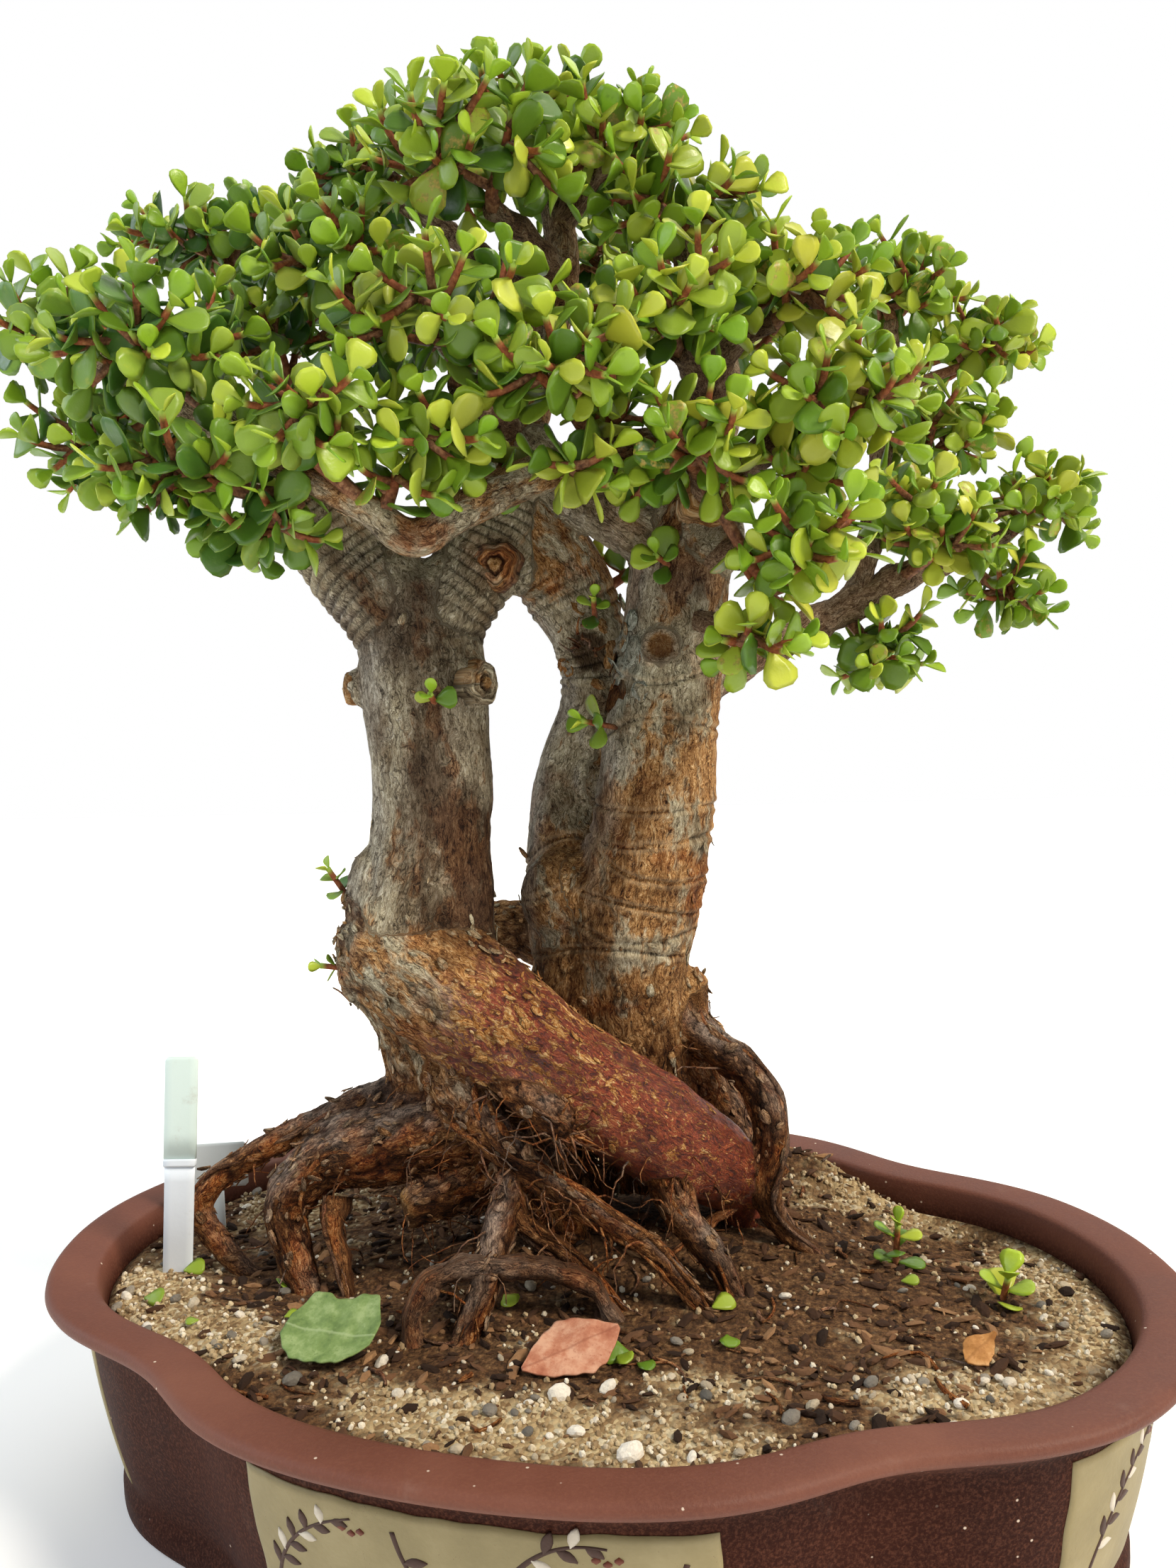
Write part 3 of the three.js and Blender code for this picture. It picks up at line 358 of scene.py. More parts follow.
def mesh_object(name, points, faces, materials, smooth, values):
    """A mesh object from points in millimetres, face arrays and values at the points."""
    counts = np.concatenate([np.full(len(group), group.shape[1]) for group in faces])
    corners = np.concatenate([group.ravel() for group in faces])
    mesh = bpy.data.meshes.new(name)
    mesh.vertices.add(len(points))
    mesh.vertices.foreach_set("co", (np.asarray(points) * MM).astype(np.float32).ravel())
    mesh.loops.add(len(corners))
    mesh.loops.foreach_set("vertex_index", corners.astype(np.int32))
    mesh.polygons.add(len(counts))
    mesh.polygons.foreach_set("loop_start", np.concatenate([[0], np.cumsum(counts)[:-1]]).astype(np.int32))
    mesh.polygons.foreach_set("use_smooth", np.full(len(counts), smooth))
    mesh.update(calc_edges=True)
    for key, value in values.items():
        kind, field = ("FLOAT_VECTOR", "vector") if value.ndim == 2 else ("FLOAT", "value")
        mesh.attributes.new(key, kind, "POINT").data.foreach_set(field, value.astype(np.float32).ravel())
    for material in materials:
        mesh.materials.append(material)
    piece = bpy.data.objects.new(name, mesh)
    bpy.context.scene.collection.objects.link(piece)
    return piece


def grid_faces(rows, around, closed=True):
    """Four-cornered faces over rows of points, the rows closed into rings."""
    k, i = np.meshgrid(np.arange(rows - 1), np.arange(around if closed else around - 1), indexing="ij")
    j = (i + 1) % around
    row, following = k * around, (k + 1) * around
    return np.stack([row + i, row + j, following + j, following + i], -1).reshape(-1, 4)


def cap_faces(rows, around):
    """Triangles from the first and last ring to the two points that follow the rings."""
    i = np.arange(around)
    j = (i + 1) % around
    first, top = rows * around, (rows - 1) * around
    low = np.stack([np.full(around, first), j, i], 1)
    return np.concatenate([low, np.stack([np.full(around, first + 1), top + i, top + j], 1)])


def run_along(stations, spacing):
    """Rows of [x, y, z, radius] at even steps of a smooth curve through the stations, and the run to each."""
    knots = np.array(stations, float)
    gaps = np.sqrt(np.linalg.norm(np.diff(knots[:, :3], axis=0), axis=1))
    time = np.concatenate([[0], np.cumsum(gaps)])
    slopes = np.diff(knots, axis=0) / gaps[:, None]
    inner = (slopes[:-1] * gaps[1:, None] + slopes[1:] * gaps[:-1, None]) / (gaps[:-1] + gaps[1:])[:, None]
    if len(knots) > 2:
        first, last = 1.5 * slopes[0] - 0.5 * inner[0], 1.5 * slopes[-1] - 0.5 * inner[-1]
        tangents = np.vstack([first, inner, last])
    else:
        tangents = np.vstack([slopes[:1], slopes[:1]])
    fine = np.linspace(0, time[-1], 40 * len(knots))
    i = np.clip(np.searchsorted(time, fine, side="right") - 1, 0, len(gaps) - 1)
    h = gaps[i][:, None]
    u = (fine - time[i])[:, None] / h
    curve = (
        (1 + 2 * u) * (1 - u) ** 2 * knots[i]
        + u * (1 - u) ** 2 * h * tangents[i]
        + u * u * (3 - 2 * u) * knots[i + 1]
        + u * u * (u - 1) * h * tangents[i + 1]
    )
    run = np.concatenate([[0], np.cumsum(np.linalg.norm(np.diff(curve[:, :3], axis=0), axis=1))])
    steps = np.linspace(0, run[-1], max(3, round(run[-1] / spacing) + 1))
    return np.stack([np.interp(steps, run, curve[:, c]) for c in range(4)], 1), steps


def frames_along(path, side=(0.31, 0.17, 0.93)):
    """Unit tangents, sides and acrosses at the points of a path, with no twist."""
    tangents = np.gradient(path, axis=0)
    tangents /= np.linalg.norm(tangents, axis=1)[:, None]
    side = np.array(side, float)
    sides = []
    for tangent in tangents:
        side = side - tangent * (side @ tangent)
        side /= np.linalg.norm(side)
        sides.append(side)
    sides = np.array(sides)
    return tangents, sides, np.cross(tangents, sides)


def tube_points(path, radii, around):
    """Rings of points about a path, and its two ends. radii is (rows,) or (rows, around)."""
    _, sides, across = frames_along(path)
    angles = circle(around)
    radii = radii[:, None] if np.ndim(radii) == 1 else radii
    rings = (
        path[:, None, :]
        + sides[:, None, :] * (radii * np.cos(angles))[:, :, None]
        + across[:, None, :] * (radii * np.sin(angles))[:, :, None]
    )
    return np.vstack([rings.reshape(-1, 3), path[:1], path[-1:]])


def tube(batch, path, radii, around, slot=0, **values):
    batch.add_rings(tube_points(path, radii, around), around, slot, **values)


def read(items, field, kind=np.int32):
    """One number of each of a mesh's items, or three where the kind is a float's."""
    width = 3 if kind is np.float32 else 1
    numbers = np.empty(len(items) * width, kind)
    items.foreach_get(field, numbers)
    return numbers.reshape(-1, 3).astype(float) if width == 3 else numbers


def evaluated(piece):
    """The points, in millimetres, and the faces of a piece with its modifiers applied."""
    done = piece.evaluated_get(bpy.context.evaluated_depsgraph_get())
    mesh = done.to_mesh()
    points = read(mesh.vertices, "co", np.float32) / MM
    corners = read(mesh.loops, "vertex_index")
    counts, starts = read(mesh.polygons, "loop_total"), read(mesh.polygons, "loop_start")
    groups = [corners[starts[counts == n][:, None] + np.arange(n)] for n in (4, 3) if (counts == n).any()]
    done.to_mesh_clear()
    return points, groups


def point_normals(points, groups):
    """Unit normals at the points, from the faces round them."""
    normals = np.zeros_like(points)
    for faces in groups:
        first, second, third, last = (points[faces[:, corner]] for corner in (0, 1, 2, -1))
        face_normals = np.cross(third - first, last - second)
        for corner in range(faces.shape[1]):
            for axis in range(3):
                normals[:, axis] += np.bincount(faces[:, corner], face_normals[:, axis], len(points))
    return normals / np.maximum(np.linalg.norm(normals, axis=1), 1e-9)[:, None]


def joined_edges(groups):
    """Each pair of points that an edge joins, once."""
    following = [np.stack([faces, np.roll(faces, -1, 1)], -1).reshape(-1, 2) for faces in groups]
    return np.unique(np.sort(np.concatenate(following), axis=1), axis=0)


def smoothed(points, edges, weight, rounds):
    """Points moved towards the mean of their neighbours, by a weight at each."""
    a, b = edges.T
    count = len(points)
    share = weight / np.maximum(np.bincount(a, minlength=count) + np.bincount(b, minlength=count), 1)
    for _ in range(rounds):
        total = [np.bincount(a, values[b], count) + np.bincount(b, values[a], count) for values in points.T]
        points = points * (1 - weight)[:, None] + np.stack(total, 1) * share[:, None]
    return points


# Materials.
def colour(code):
    """A linear colour from an sRGB hex code."""
    parts = [int(code[i : i + 2], 16) / 255 for i in (1, 3, 5)]
    return tuple(c / 12.92 if c <= 0.04045 else ((c + 0.055) / 1.055) ** 2.4 for c in parts) + (1.0,)


class Shader:
    """Builds one material's nodes. Numbers, colours and sockets may all be given as inputs."""

    def __init__(self, name):
        self.material = bpy.data.materials.new(name)
        self.material.use_nodes = True
        self.tree = self.material.node_tree
        self.tree.nodes.clear()

    def node(self, kind, inputs=(), **settings):
        made = self.tree.nodes.new("ShaderNode" + kind)
        for key, value in settings.items():
            setattr(made, key, value)
        for key, value in dict(inputs).items():
            if isinstance(value, bpy.types.NodeSocket):
                self.tree.links.new(value, made.inputs[key])
            else:
                made.inputs[key].default_value = value
        return made

    def attribute(self, name, output="Fac"):
        return self.node("Attribute", attribute_name=name).outputs[output]

    def place(self, scale=(1, 1, 1), vector=None):
        vector = vector or self.node("TexCoord").outputs["Object"]
        return self.node("Mapping", {"Vector": vector, "Scale": scale}).outputs[0]

    def noise(self, scale, vector=None, detail=4.0, roughness=0.55):
        inputs = {"Vector": vector or self.place(), "Scale": scale, "Detail": detail, "Roughness": roughness}
        return self.node("TexNoise", inputs).outputs["Fac"]

    def cells(self, scale, vector, feature="F1", output="Distance"):
        return self.node("TexVoronoi", {"Vector": vector, "Scale": scale}, feature=feature).outputs[output]

    def math(self, operation, a, b):
        return self.node("Math", {0: a, 1: b}, operation=operation).outputs[0]

    def plus(self, *parts):
        return reduce(lambda a, b: self.math("ADD", a, b), parts)

    def minus(self, a, b):
        return self.math("SUBTRACT", a, b)

    def times(self, a, b):
        return self.math("MULTIPLY", a, b)

    def remap(self, value, low, high, to_low=0.0, to_high=1.0):
        inputs = {"Value": value, "From Min": low, "From Max": high, "To Min": to_low, "To Max": to_high}
        return self.node("MapRange", inputs, interpolation_type="SMOOTHSTEP").outputs[0]

    def ramp(self, value, *stops):
        made = self.node("ValToRGB", {"Fac": value})
        elements = made.color_ramp.elements
        while len(elements) < len(stops):
            elements.new(0.5)
        for element, (position, code) in zip(elements, stops):
            element.position = position
            element.color = colour(code)
        return made.outputs["Color"]

    def mix(self, share, a, b, blend="MIX"):
        a, b = (colour(c) if isinstance(c, str) else c for c in (a, b))
        made = self.node("Mix", {0: share, 6: a, 7: b}, data_type="RGBA", blend_type=blend)
        return made.outputs[2]

    def finish(self, base, roughness, shine=0.2, bump=None, inputs=()):
        """The material, with bump as a height, the distance that it stands for, and a strength."""
        inputs = {"Base Color": base, "Roughness": roughness, "Specular IOR Level": shine, **dict(inputs)}
        if bump:
            height, distance, strength = bump
            bumps = self.node("Bump", {"Height": height, "Distance": distance, "Strength": strength})
            inputs["Normal"] = bumps.outputs[0]
        surface = self.node("BsdfPrincipled", inputs).outputs[0]
        self.node("OutputMaterial", {"Surface": surface})
        return self.material


def bark_material():
    """Bark from pale grey-beige to root brown and smooth red, by values laid on the wood's points."""
    s = Shader("bark")
    value = s.attribute
    grain = value("grain", "Vector")
    drift = s.node("TexNoise", {"Vector": s.place((0.22, 0.22, 0.12), grain), "Scale": 1.0, "Detail": 3.0})
    middle = s.node("VectorMath", {0: drift.outputs["Color"], 1: (0.5, 0.5, 0.5)}, operation="SUBTRACT")
    drift = s.node("VectorMath", {0: middle.outputs[0], "Scale": 7.0}, operation="SCALE")
    grain = s.node("VectorMath", {0: grain, 1: drift.outputs[0]}, operation="ADD").outputs[0]

    def along(across, up, detail, roughness=0.55):
        return s.noise(1, s.place((across, across, up), grain), detail, roughness)

    fibre = along(1.5, 0.13, 6, 0.78)
    web = along(0.5, 0.22, 5, 0.7)
    patch = along(0.085, 0.04, 5, 0.62)
    speckle = along(2.6, 1.5, 3, 0.7)
    stain = s.noise(31, None, 5, 0.62)
    tone = s.plus(s.times(fibre, 0.5), s.times(web, 0.3), s.times(speckle, 0.2))

    def tones(*codes):
        return s.ramp(tone, *zip((0.415, 0.46, 0.505, 0.548, 0.592), codes))

    pale = tones("#4d4436", "#918369", "#c3b594", "#e2d7b8", "#f3ecd8")
    brown = tones("#2d1a0f", "#7a4f2d", "#b3824e", "#d8a86e", "#f0d2a2")
    rusty = tones("#33150a", "#7c3d1c", "#b4662f", "#d49151", "#ebba86")
    grey = tones("#433e3a", "#817a72", "#aea69c", "#cec8bd", "#e5e0d7")
    root = tones("#190d07", "#482a14", "#754723", "#a06c3c", "#cb9a64")
    red = tones("#36120a", "#5e2312", "#87371e", "#a8502c", "#c67440")
    peel = tones("#784421", "#ae7138", "#d09656", "#e8bd80", "#f5daab")
    cut = tones("#6d4a28", "#a06f3c", "#c08f54", "#d6ae78", "#e6cb9e")
    lichen = tones("#5f5d52", "#8f9182", "#b4b7a8", "#cdd0c2", "#e2e3d8")
    slim = tones("#382922", "#68513f", "#917760", "#b2997e", "#cfbba0")

    paleness = s.plus(patch, s.times(s.minus(value("pale"), 0.5), 0.24))
    base = s.mix(s.remap(paleness, 0.44, 0.56), brown, pale)
    base = s.mix(s.times(s.remap(stain, 0.53, 0.64, 0.0, 0.8), value("rust")), base, rusty)
    # Painted cool light on the sides that face left, and a cool grey in the patches of painted shade.
    base = s.mix(value("cool"), base, grey)
    rooty = s.mix(s.remap(patch, 0.47, 0.58, 0.0, 0.85), root, rusty)
    # Greyer on the tops of the roots, in patches.
    grey_on_top = s.times(value("top"), s.remap(stain, 0.4, 0.6, 1.0, 0.3))
    base = s.mix(value("root"), base, s.mix(grey_on_top, rooty, s.mix(0.5, root, grey)))
    flaky = value("flaky")
    flakes = s.remap(s.plus(along(0.24, 0.17, 6, 0.74), flaky), 0.555, 0.585)
    freckles = s.remap(s.plus(along(0.8, 0.55, 3, 0.6), s.times(flaky, 0.35)), 0.6, 0.63, 0.0, 0.85)
    flaking = s.math("MAXIMUM", flakes, freckles)
    base = s.mix(value("red"), base, s.mix(flaking, red, peel))
    for name, tint in (("slim", slim), ("lichen", lichen), ("cut", cut)):
        base = s.mix(value(name), base, tint)

    smooth_red = s.times(value("red"), s.minus(1.0, flaking))
    rough_bark = s.minus(1.0, s.math("MAXIMUM", smooth_red, value("cut")))
    cell_edge = s.cells(1, s.place((0.3, 0.3, 0.13), grain), "DISTANCE_TO_EDGE")
    gate = s.times(s.remap(along(0.09, 0.05, 3), 0.44, 0.6), rough_bark)
    cracks = s.times(s.remap(cell_edge, 0.0, 0.06, 1.0, 0.0), gate)
    wave = s.times(s.math("PINGPONG", value("phase"), 0.5), 2.0)
    furrow = s.times(s.remap(wave, 0.0, 0.45, 1.0, 0.0), value("folded"))
    crest_highlight = s.times(s.remap(wave, 0.5, 0.95), value("folded"))
    ring = value("ring")
    broken = s.remap(along(0.12, 0.12, 4, 0.7), 0.42, 0.56, 0.1, 1.0)
    split = s.times(s.remap(ring, 0.15, 0.8, 1.0, 0.0), broken)
    lip = s.times(s.remap(ring, 0.6, 1.2), s.remap(ring, 1.4, 3.4, 1.0, 0.0))
    base = s.mix(s.times(cracks, 0.55), base, "#2f2119")
    # Painted highlight on the crests of the folds.
    base = s.mix(s.times(crest_highlight, 0.3), base, "#cdbd9b")
    base = s.mix(s.times(lip, 0.28), base, "#d8c19a")
    # Painted shade in the furrows of the folds and in the splits round the trunk.
    base = s.mix(s.math("MAXIMUM", s.times(furrow, 0.5), s.times(split, 0.62)), base, "#33231a")
    # Painted shade in creases, cracks, scars and patches, multiplied into the colour, with some tone that
    # differs from root to root.
    shade = s.ramp(s.remap(value("crease"), -1.0, 0.1), (0.0, "#85756a"), (1.0, "#ffffff"))
    cloud = s.ramp(along(0.05, 0.03, 5, 0.6), (0.38, "#b8aca1"), (0.54, "#ffffff"))
    base = s.mix(1.0, s.mix(1.0, base, shade, "MULTIPLY"), cloud, "MULTIPLY")

    raised = s.plus(s.times(fibre, 0.7), s.times(speckle, 0.25), s.times(flaking, 0.3), s.times(lip, 0.2))
    sunk = s.plus(s.times(cracks, 0.5), s.times(split, 0.8), s.times(furrow, 0.5))
    roughness, shine = s.remap(smooth_red, 0, 1, 0.85, 0.36), s.remap(smooth_red, 0, 1, 0.15, 0.5)
    return s.finish(base, roughness, shine, (s.minus(raised, sunk), 0.002, 0.85))


def leaf_material():
    """Fleshy waxy leaves: painted shade in bluish green at the left, painted sunlight in yellow-green at the
    right, and yellow-green when young.
    """
    s = Shader("leaf")
    tone, young = s.attribute("tone"), s.attribute("young")
    cool = s.ramp(tone, (0.0, "#1b421a"), (0.4, "#2f5d24"), (0.75, "#4f7d33"), (1.0, "#7a9c4c"))
    sunny = s.ramp(tone, (0.0, "#426614"), (0.35, "#6a881c"), (0.7, "#98a829"), (1.0, "#c0ba38"))
    fresh = s.ramp(tone, (0.0, "#84b028"), (0.6, "#a8c433"), (1.0, "#cad645"))
    # Painted light and shade: the sunlit share picks between the shaded and the sunny greens.
    base = s.mix(young, s.mix(s.attribute("warm"), cool, sunny), fresh)
    mottle = s.noise(260, None, 4, 0.6)
    base = s.mix(s.remap(mottle, 0.55, 0.75, 0, 0.35), base, sunny)
    tan = s.mix(s.remap(s.noise(900, detail=3), 0.4, 0.6), "#b79a4a", "#8d8a3c")
    base = s.mix(s.times(s.attribute("worn"), s.remap(mottle, 0.5, 0.6)), base, tan)
    to_rim = s.node("SeparateXYZ", {"Vector": s.attribute("blade", "Vector")}).outputs["Z"]
    base = s.mix(s.remap(to_rim, 0.75, 1.0, 0.0, 0.35), base, fresh)
    roughness = s.remap(mottle, 0.3, 0.7, 0.3, 0.46)
    return s.finish(base, roughness, 0.4, (s.noise(700, detail=3), 0.0003, 0.35))


def twig_material():
    s = Shader("twig")
    young = s.attribute("young")
    lumps = s.noise(600, None, 5, 0.6)
    old = s.ramp(lumps, (0.3, "#3f2a1f"), (0.5, "#7a5138"), (0.7, "#a07b58"))
    red = s.ramp(lumps, (0.3, "#6a3420"), (0.6, "#9b5836"), (0.8, "#b98452"))
    base = s.mix(s.remap(young, 0.1, 0.7), old, red)
    base = s.mix(s.remap(young, 0.8, 1.0), base, "#9ab64a")
    return s.finish(base, 0.62, bump=(lumps, 0.0006, 0.6))


def stoneware_material():
    """Unglazed red-brown stoneware, with painted shade that makes it darker below the rim, pale mineral
    specks and dust on its edges.
    """
    s = Shader("stoneware")
    place = s.place()
    cloud = s.noise(14, place, 4, 0.6)
    grain = s.noise(900, place, 3, 0.7)
    height = s.node("SeparateXYZ", {"Vector": place}).outputs["Z"]
    below_rim, above_rim = 0.076, 0.088
    # Painted shade: the wall below the rim takes the shaded copy of the colour and the rim the lit one.
    lit = s.ramp(cloud, (0.3, "#5f3527"), (0.5, "#6b3e2f"), (0.7, "#784a39"))
    shaded = s.ramp(cloud, (0.3, "#27100a"), (0.5, "#2f140c"), (0.7, "#371a11"))
    base = s.mix(s.remap(height, below_rim, above_rim), shaded, lit)
    base = s.mix(s.remap(grain, 0.4, 0.75, 0.0, 0.35), base, "#80503c")
    chosen = s.node("SeparateColor", {"Color": s.cells(260, place, output="Color")}).outputs[0]
    specks = s.times(s.remap(s.cells(260, place), 0.16, 0.08), s.remap(chosen, 0.93, 0.94))
    base = s.mix(specks, base, "#cdb9a6")
    dust = s.noise(42, s.place((1, 1, 0.35)), 7, 0.72)
    base = s.mix(s.remap(dust, 0.6, 0.78, 0.0, 0.2), base, "#94786a")
    shine = s.remap(height, below_rim, above_rim, 0.06, 0.3)
    bump = (s.plus(grain, s.times(cloud, 2.0)), 0.0005, 0.4)
    return s.finish(base, s.remap(cloud, 0.3, 0.7, 0.5, 0.66), shine, bump)


def panel_material():
    s = Shader("panel_glaze")
    base = s.ramp(s.noise(28, None, 5, 0.65), (0.3, "#82754f"), (0.5, "#90825a"), (0.7, "#9e9069"))
    specks = s.remap(s.cells(900, s.place()), 0.2, 0.1, 0.0, 0.5)
    rare = s.remap(s.noise(120, detail=2), 0.55, 0.65)
    base = s.mix(s.times(specks, rare), base, "#6b4a35")
    return s.finish(base, 0.5, 0.4, (s.noise(500, detail=4), 0.0004, 0.4))


def motif_material(name, low, high, roughness):
    s = Shader(name)
    base = s.mix(s.noise(300, detail=4), low, high)
    return s.finish(base, roughness, bump=(s.noise(600, detail=3), 0.0004, 0.4))


def soil_material():
    """Dark humus with coarse tan sand, by the value called sandy."""
    s = Shader("soil")
    place = s.place()
    coarse = s.noise(330, place, 6, 0.75)
    pick = s.node("SeparateColor", {"Color": s.cells(480, place, output="Color")}).outputs[0]
    humus = s.ramp(coarse, (0.3, "#2b1c11"), (0.45, "#4e3521"), (0.58, "#755436"), (0.7, "#a6845a"))
    sand = s.ramp(pick, (0.0, "#876a48"), (0.4, "#b3966c"), (0.75, "#d0b88b"), (1.0, "#e4d5b4"))
    base = s.mix(s.attribute("sandy"), humus, sand)
    height = s.minus(s.times(coarse, 1.2), s.cells(480, place))
    return s.finish(base, 0.95, bump=(height, 0.0018, 0.9))


def grain_material(name, *stops, roughness=0.9):
    """Loose grains, each of its own tint by the value called tint."""
    s = Shader(name)
    base = s.ramp(s.attribute("tint"), *stops)
    fleck = s.noise(700, None, 4, 0.7)
    base = s.mix(s.remap(fleck, 0.35, 0.65, 0.0, 0.35), base, s.mix(0.6, base, "#201610"))
    return s.finish(base, roughness, bump=(fleck, 0.0006, 0.7))


def plastic_material(name, low, high):
    s = Shader(name)
    base = s.mix(s.noise(9, detail=3), low, high)
    base = s.mix(s.remap(s.noise(60, None, 6, 0.7), 0.58, 0.75, 0.0, 0.4), base, "#a99f8c")
    return s.finish(base, 0.4, 0.5, (s.noise(400, detail=3), 0.0002, 0.3))


def dry_leaf_material(name, low, mid, high, vein):
    """A fallen leaf: value veins is 1 on its ribs."""
    s = Shader(name)
    base = s.ramp(s.noise(120, None, 6, 0.65), (0.35, low), (0.5, mid), (0.64, high))
    base = s.mix(s.remap(s.noise(700, detail=3), 0.6, 0.68, 0.0, 0.5), base, low)
    base = s.mix(s.remap(s.attribute("veins"), 0.2, 1.0, 0.0, 0.5), base, vein)
    return s.finish(base, 0.6, bump=(s.noise(500, detail=4), 0.0004, 0.5))


def studio_material():
    s = Shader("studio_floor")
    base = s.mix(s.remap(s.noise(1.2, detail=2), 0.3, 0.7, 0.0, 0.2), "#fbfbfa", "#f8f8f7")
    return s.finish(base, 0.9, inputs={"Emission Color": (1, 1, 1, 1), "Emission Strength": 0.15})


# The wood.
class Bones:
    """Samples along limbs, for finding which limb a point of the bark belongs to."""

    def __init__(self, tables, spacing=2.5):
        self.names = list(tables)
        runs = [run_along(stations, spacing) for stations in tables.values()]
        frames = [frames_along(path[:, :3]) for path, _ in runs]
        rows = np.concatenate([path for path, _ in runs])
        self.at, self.radius = rows[:, :3], rows[:, 3]
        self.run = np.concatenate([run for _, run in runs])
        self.left = np.concatenate([run[-1] - run for _, run in runs])
        self.limb = np.concatenate([np.full(len(run), i) for i, (_, run) in enumerate(runs)])
        self.starts = np.searchsorted(self.limb, np.arange(len(runs)))
        self.tangent, self.side, self.across = (np.concatenate([f[k] for f in frames]) for k in range(3))

    def nearest(self, points, chunk=4000):
        """The nearest sample to each point, the depth inside it, and how much further the next limb is."""
        best, depth, gap = np.empty(len(points), int), np.empty(len(points)), np.empty(len(points))
        for start in range(0, len(points), chunk):
            part = points[start : start + chunk]
            square = (part**2).sum(1)[:, None] + (self.at**2).sum(1) - 2 * part @ self.at.T
            clear = np.sqrt(np.maximum(square, 0)) - self.radius
            by_limb = np.sort(np.minimum.reduceat(clear, self.starts, axis=1), axis=1)
            rows = slice(start, start + len(part))
            best[rows] = clear.argmin(1)
            depth[rows] = -by_limb[:, 0]
            gap[rows] = by_limb[:, 1] - by_limb[:, 0]
        return best, depth, gap

    def local(self, points, best):
        """Each point across and along its limb: two distances from the axis, and the run."""
        offset = points - self.at[best]
        along = (offset * self.tangent[best]).sum(1)
        sideways, over = (offset * self.side[best]).sum(1), (offset * self.across[best]).sum(1)
        return np.stack([sideways, over, self.run[best] + along], 1)


VOXEL = 1.35
WOOD_TRIANGLES = 195000
MELD = 4.5  # how far from a crotch the bark is drawn smooth
RED_FROM = 30  # run along the crossing root where its bark turns smooth and red


def widest(stations):
    """The largest radius of a limb's stations."""
    return max(station[3] for station in stations)


THICK_WOOD = {
    **{name: rows for name, rows in LIMBS.items() if widest(rows) >= 10},
    **{name: rows for name, rows in ROOTS.items() if widest(rows) >= 8},
    **CUT_ENDS,
}
SLIM_LIMBS = {name: rows for name, rows in LIMBS.items() if name not in THICK_WOOD}
THIN_ROOTS = {name: rows for name, rows in ROOTS.items() if name not in THICK_WOOD}


def ball(batch, centre, radius, stretch, rows=10, around=16):
    """Adds a ball that is stretched upwards."""
    height = np.cos(np.linspace(0, math.pi, rows + 2)[1:-1])
    path = np.array(centre) + np.outer(-height, [0, 0, radius * stretch])
    radii = radius * np.sqrt(1 - height**2)
    angles = circle(around)
    ring = np.stack([np.cos(angles), np.sin(angles), 0 * angles], 1)
    rings = path[:, None, :] + radii[:, None, None] * ring
    ends = np.array(centre) + np.outer([-1, 1], [0, 0, radius * stretch])
    batch.add_rings(np.vstack([rings.reshape(-1, 3), ends]), around)


def fused(batch, name, voxel):
    """The outer skin of overlapping closed pieces."""
    rough = batch.build(name, [])
    remesh = rough.modifiers.new("skin", "REMESH")
    remesh.mode = "VOXEL"
    remesh.voxel_size = voxel * MM
    remesh.use_smooth_shade = True
    points, groups = evaluated(rough)
    mesh = rough.data
    bpy.data.objects.remove(rough)
    bpy.data.meshes.remove(mesh)
    return points, groups


def thinned(piece, triangles):
    """The piece with fewer faces, fewest where it is flattest."""
    fewer = piece.modifiers.new("fewer", "DECIMATE")
    fewer.ratio = min(1, triangles / sum(len(polygon.vertices) - 2 for polygon in piece.data.polygons))
    mesh = bpy.data.meshes.new_from_object(piece.evaluated_get(bpy.context.evaluated_depsgraph_get()))
    piece.modifiers.clear()
    piece.data = mesh
    return piece


# Splits round the right trunk: the limbs that they cross, and three points of each at its front.
SPLITS = [
    (("rightTrunk",), (6, 28, 267), (30, 25, 265), (52, 32, 267)),
    (("rightTrunk",), (4, 28, 253), (28, 25, 251), (51, 32, 255)),
    (("rightTrunk",), (6, 28, 246), (24, 26, 237), (43, 30, 235)),
    (("rightTrunk", "lowBulge"), (7, 28, 229), (26, 26, 224), (44, 30, 219)),
    (("rightTrunk", "lowBulge"), (4, 28, 213), (20, 26, 210), (37, 28, 212)),
    (("rightTrunk", "backTrunk", "lowBulge"), (-16, 30, 206), (8, 27, 208), (37, 28, 202)),
    (("backTrunk", "lowBulge"), (-34, 40, 228), (-20, 34, 230), (-9, 32, 236)),
    (("backTrunk", "lowBulge"), (-33, 44, 245), (-16, 38, 254), (-1, 34, 249)),
    (("rightTrunk",), (12, 36, 300), (32, 30, 304), (52, 38, 298)),
    (("rightTrunk",), (16, 38, 322), (34, 34, 318), (54, 40, 325)),
]


def split_distance(points, names):
    """Distance to the nearest split of the bark, at most 5."""
    nearest = np.full(len(points), 5.0)
    for limbs, *spots_on_it in SPLITS:
        across, heights = np.array(spots_on_it)[:, 0], np.array(spots_on_it)[:, 2]
        curve = np.polyfit(across, heights, 2)
        reach = np.clip(points[:, 0], across[0] - 12, across[-1] + 12)
        fade = np.abs(points[:, 0] - reach) * 0.5 + np.maximum(points[:, 1] - 58, 0) * 0.2
        gap = np.abs(points[:, 2] - np.polyval(curve, reach) + 1.1 * noise(points / 9, 2)) + fade
        nearest = np.where(np.isin(names, limbs), np.minimum(nearest, gap), nearest)
    return nearest


